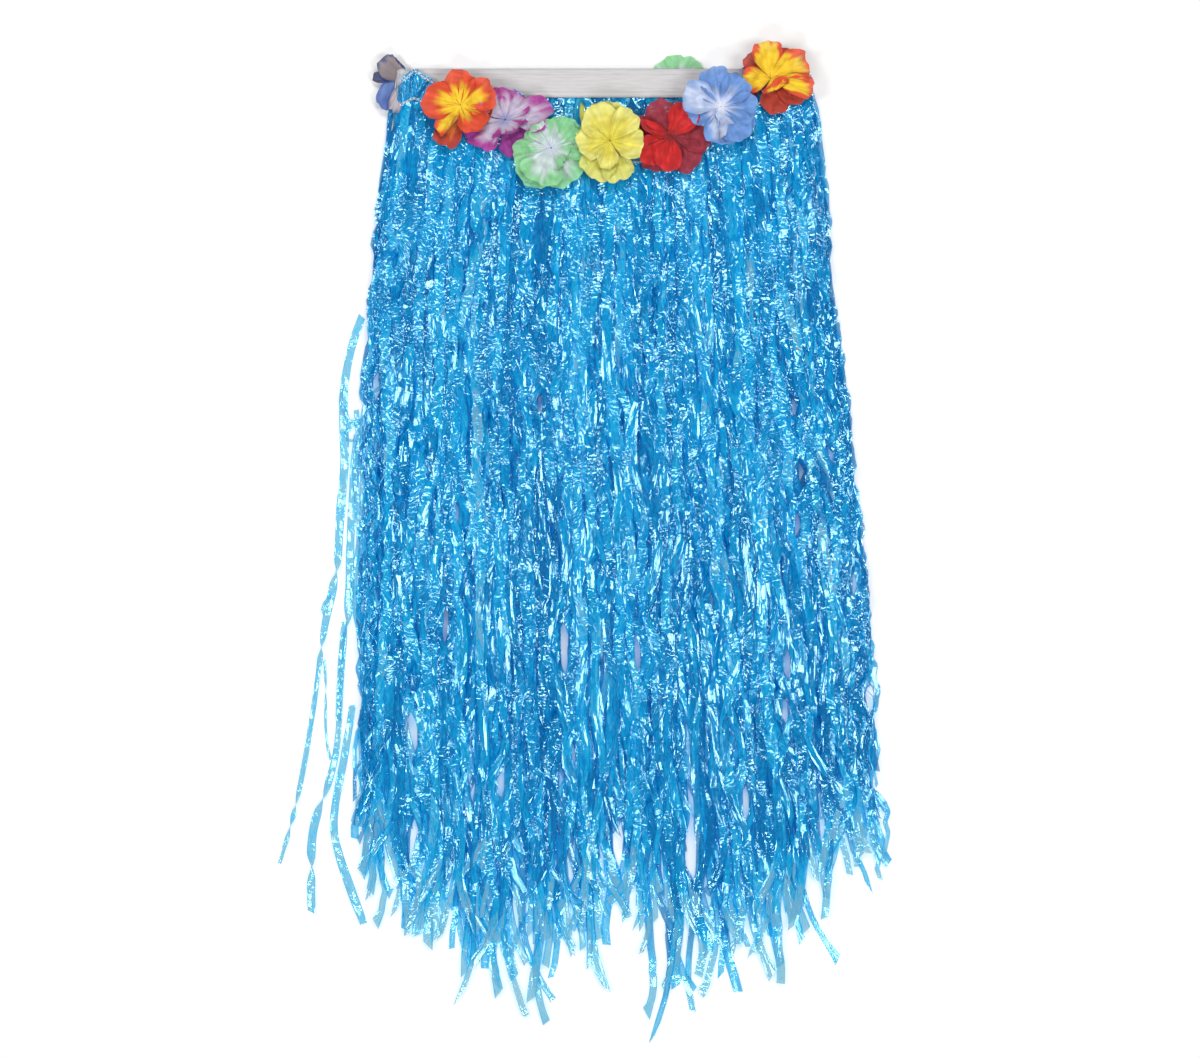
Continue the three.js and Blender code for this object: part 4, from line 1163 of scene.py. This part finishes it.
# The upper layer and the lower layer of each flower on the front, seen with the waist up.
FRONT_FLOWERS = {
    "01": dict(
        dye="orange", heart=(0, 0.001), level=0.0046,
        upper=[
            cut(92, 0.0295, 70, rim=0.6), cut(174, 0.033, 76, rim=0.6),
            cut(22, 0.0325, 68, rim=0.66, lift=0.28), cut(311, 0.029, 74, rim=0.5, lift=0.3),
            cut(247, 0.033, 60, rim=0.86, curls=[(75, 0.006, 0.002, 65)]),
            cut(350, 0.026, 32, rim=0.8, lift=0.36, curls=[(70, 0.0035, 0.0012, 120)])],
        lower=[
            cut(248, 0.04, 42, rim=0.7), cut(60, 0.027, 60, rim=0.5), cut(150, 0.028, 60, rim=0.5),
            cut(330, 0.029, 60, rim=0.4)]),
    "02": dict(
        dye="purple", heart=(-0.0015, 0.004), level=0.0012, hole=0.03, notch=0.24,
        upper=[
            cut(118, 0.028, 76, rim=0.86), cut(60, 0.026, 74, rim=0.84),
            cut(8, 0.0365, 56, rim=0.88, curls=[(20, 0.031, 0.002, -80)]),
            cut(215, 0.035, 60, rim=0.72, curls=[(-60, 0.009, 0.004, -70)]),
            cut(295, 0.026, 92, rim=0.5, soft=0.1, lift=0.3, curls=[(0, 0.012, 0.0035, 60)])],
        lower=[
            cut(300, 0.034, 64, rim=0.3, pleat=0.0009), cut(205, 0.037, 34, rim=0.3),
            cut(120, 0.026, 60), cut(20, 0.028, 60, rim=0.4)]),
    "03": dict(
        dye="green", heart=(0, 0.008), level=0.005, hole=0.025, notch=0.2,
        upper=[
            cut(112, 0.024, 72, rim=0.9), cut(55, 0.028, 60, rim=0.55), cut(2, 0.03, 58, rim=0.6),
            cut(250, 0.035, 68, rim=0.78),
            cut(326, 0.03, 60, rim=0.45, lift=0.26, curls=[(7, 0.0175, 0.0008, 172)])],
        lower=[
            cut(205, 0.034, 60, rim=0.7), cut(235, 0.039, 60, rim=0.72), cut(300, 0.037, 66, rim=0.72),
            cut(30, 0.032, 60, rim=0.6), cut(160, 0.026, 60, rim=0.7)]),
    "04": dict(
        dye="yellow", heart=(-0.0025, 0.0075), level=0.01, hole=0.03, pleat=0.0008,
        upper=[
            cut(118, 0.032, 84, lift=0.24), cut(192, 0.029, 72), cut(48, 0.031, 56, lift=0.34),
            cut(346, 0.03, 66, lift=0.26), cut(263, 0.026, 52, lift=0.3)],
        lower=[
            cut(245, 0.0375, 62), cut(284, 0.038, 52), cut(98, 0.034, 66), cut(20, 0.029, 60),
            cut(170, 0.029, 60)]),
    "05": dict(
        dye="red", heart=(0.0005, -0.002), level=0.0028,
        upper=[
            cut(168, 0.036, 44, notch=0.75, curls=[(60, 0.008, 0.004, 50)]), cut(218, 0.034, 58),
            cut(56, 0.031, 72, lift=0.3, notch=0.5), cut(262, 0.032, 60, lift=0.3, notch=0.5),
            cut(103, 0.027, 34, lift=0.36, curls=[(70, 0.0035, 0.001, 150)])],
        lower=[
            cut(118, 0.033, 68), cut(165, 0.037, 40), cut(305, 0.0355, 62), cut(352, 0.034, 54),
            cut(236, 0.036, 52)]),
    "06": dict(
        dye="blue", heart=(0, 0), level=0.0105,
        upper=[
            cut(106, 0.0335, 58, rim=0.4), cut(164, 0.035, 62, rim=1.0, soft=0.3),
            cut(48, 0.03, 62, rim=0.5, soft=0.25), cut(350, 0.031, 66, rim=0.4),
            cut(302, 0.036, 60, rim=0.42, soft=0.25),
            cut(248, 0.034, 58, rim=1.0, lift=0.26, curls=[(-65, 0.004, 0.0022, 150)])],
        lower=[
            cut(60, 0.03, 60, rim=0.4), cut(135, 0.031, 60, rim=0.6), cut(200, 0.03, 60, rim=0.5),
            cut(270, 0.035, 64, rim=0.8), cut(322, 0.034, 60, rim=0.3)]),
    "07": dict(
        dye="orange", heart=(-0.002, 0.003), level=0.0022, raised=0.0045,
        upper=[
            cut(100, 0.0315, 62, rim=0.94, soft=0.05), cut(188, 0.025, 66, rim=0.9),
            cut(32, 0.033, 56, rim=0.86, soft=0.08, curls=[(-30, 0.02, 0.006, -60)]),
            cut(344, 0.036, 40, rim=0.84, soft=0.1, curls=[(0, 0.022, 0.008, -50)]),
            cut(296, 0.024, 84, rim=0.72, soft=0.1, lift=0.34, curls=[(0, 0.012, 0.002, 100)])],
        lower=[
            cut(202, 0.035, 44, rim=0.1), cut(283, 0.0315, 66, rim=0.12), cut(330, 0.034, 56, rim=0.3),
            cut(60, 0.029, 60, rim=0.5), cut(130, 0.029, 60, rim=0.5)]),
}
# Darker copies of the dyes for the lower layers: painted shade under the upper layer, and partly the blue
# film showing through the thin cloth.
SHADED_LOWER_DYES = {
    "orange": ((0.60, 0.30, 0.02), (0.66, 0.16, 0.02), (0.44, 0.035, 0.012)),
    "purple": ((0.20, 0.05, 0.30), (0.26, 0.06, 0.34), (0.30, 0.03, 0.26)),
    "red": ((0.20, 0.008, 0.014), (0.30, 0.016, 0.035), (0.32, 0.018, 0.04)),
    "yellow": ((0.50, 0.44, 0.04), (0.66, 0.62, 0.10), (0.66, 0.66, 0.16)),
}


def on_the_front(x, y):
    """The height of the raffia under the front flowers."""
    return front_solid.at(front_solid.top, x, y)


def on_the_table(x, y):
    """The height of the table, which is nothing."""
    return np.zeros_like(x)


rng = np.random.default_rng(77)
for number, flower in FRONT_FLOWERS.items():
    low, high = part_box(f"flower_{number}_lower")
    heart = ((low[0] + high[0]) / 2 + flower["heart"][0], (low[1] + high[1]) / 2 + flower["heart"][1])
    dye, level = flower["dye"], flower["level"]
    cloth, name = petal_cloths[dye], f"petal_{dye}"
    for layer, apart in (("lower", 0.0), ("upper", LAYER_APART + flower.get("raised", 0.0))):
        # A lower layer takes the darker copy of its dye, with its painted shade, where there is one.
        shades = SHADED_LOWER_DYES.get(dye, DYES[dye]) if layer == "lower" else DYES[dye]
        cloth_cut = {key: flower[key] for key in ("hole", "notch", "pleat") if key in flower}
        if layer == "lower":
            cloth_cut["lift"] = LYING_LIFT
        petals = [petal(rng, shades, **{**cloth_cut, **shape}) for shape in flower[layer]]
        sew_layer(f"petals_{number}_{layer}", f"flower_{number}_{layer}", petals, heart, on_the_front,
                  level + apart, cloth)

# The flower at the left fold faces away, so its petals show edge-on, folded, beyond the heading.
SIDE_HEART = (-0.1585, 0.4105)
SIDE_GREY = ((0.42, 0.38, 0.40), (0.50, 0.45, 0.48), (0.03, 0.05, 0.22))
SIDE_SHADED = ((0.30, 0.24, 0.25), (0.26, 0.21, 0.22), (0.022, 0.035, 0.17))
SIDE_BLUE = ((0.22, 0.32, 0.58), (0.12, 0.22, 0.52), (0.05, 0.12, 0.42))
SIDE_NAVY = ((0.10, 0.18, 0.42), (0.035, 0.07, 0.26), (0.006, 0.012, 0.08))
SIDE_PETALS = {
    "lower": [
        cut(253, 0.0315, 56, shades=SIDE_BLUE, at=(-0.008, 0.003), notch=0.6),
        cut(168, 0.0185, 54, shades=SIDE_NAVY, at=(-0.009, -0.002), notch=0.95, rim=0.8)],
    "upper": [
        cut(250, 0.0335, 36, shades=SIDE_GREY, at=(0.002, 0.001), rim=0.98, notch=0.5),
        cut(134, 0.028, 66, shades=SIDE_SHADED, at=(0.001, -0.003), rim=0.92, soft=0.08, skew=-0.3,
            curls=[(-90, 0.0085, 0.0012, 120)])],
}
SIDE_LEVELS = (("lower", 0.006), ("upper", 0.0085))
for layer, level in SIDE_LEVELS:
    petals = []
    for shape in SIDE_PETALS[layer]:
        part = petal(rng, **{key: value for key, value in shape.items() if key != "at"}, lift=0.1)
        part["points"] = part["points"] + np.array([*shape["at"], 0.0])
        petals.append(part)
    sew_layer(f"petals_12_{layer}", f"flower_12_{layer}", petals, SIDE_HEART, on_the_table, level,
              petal_cloths["blue"], crushed=0.2)

# The flowers on the back lie pressed flat: each one's dye, turn in degrees and petal length.
BACK_FLOWERS = {
    "08": ("purple", 70, 0.025), "09": ("green", 22, 0.0295), "10": ("yellow", 40, 0.025),
    "11": ("orange", 5, 0.025)}
# The side that faces out lies lower, because the back faces down, and is turned against the other.
BACK_LAYERS = (("upper", 0.0003, 0), ("lower", 0.0013, 36))
for number, (dye, turn, petal_long) in BACK_FLOWERS.items():
    low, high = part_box(f"flower_{number}_lower")
    heart = ((low[0] + high[0]) / 2, (low[1] + high[1]) / 2)
    for layer, level, turned in BACK_LAYERS:
        petals = [
            petal(rng, DYES[dye], angle=turn + turned + 72 * k, length=petal_long * rng.uniform(0.95, 1.04),
                  spread=68, lift=0.0, cup=0.0, ruffle=0.0, pleat=0.0002)
            for k in range(5)]
        sew_layer(f"petals_{number}_{layer}", f"flower_{number}_{layer}", petals, heart, on_the_table,
                  level, petal_cloths[dye], high=0.3, crushed=0.1)
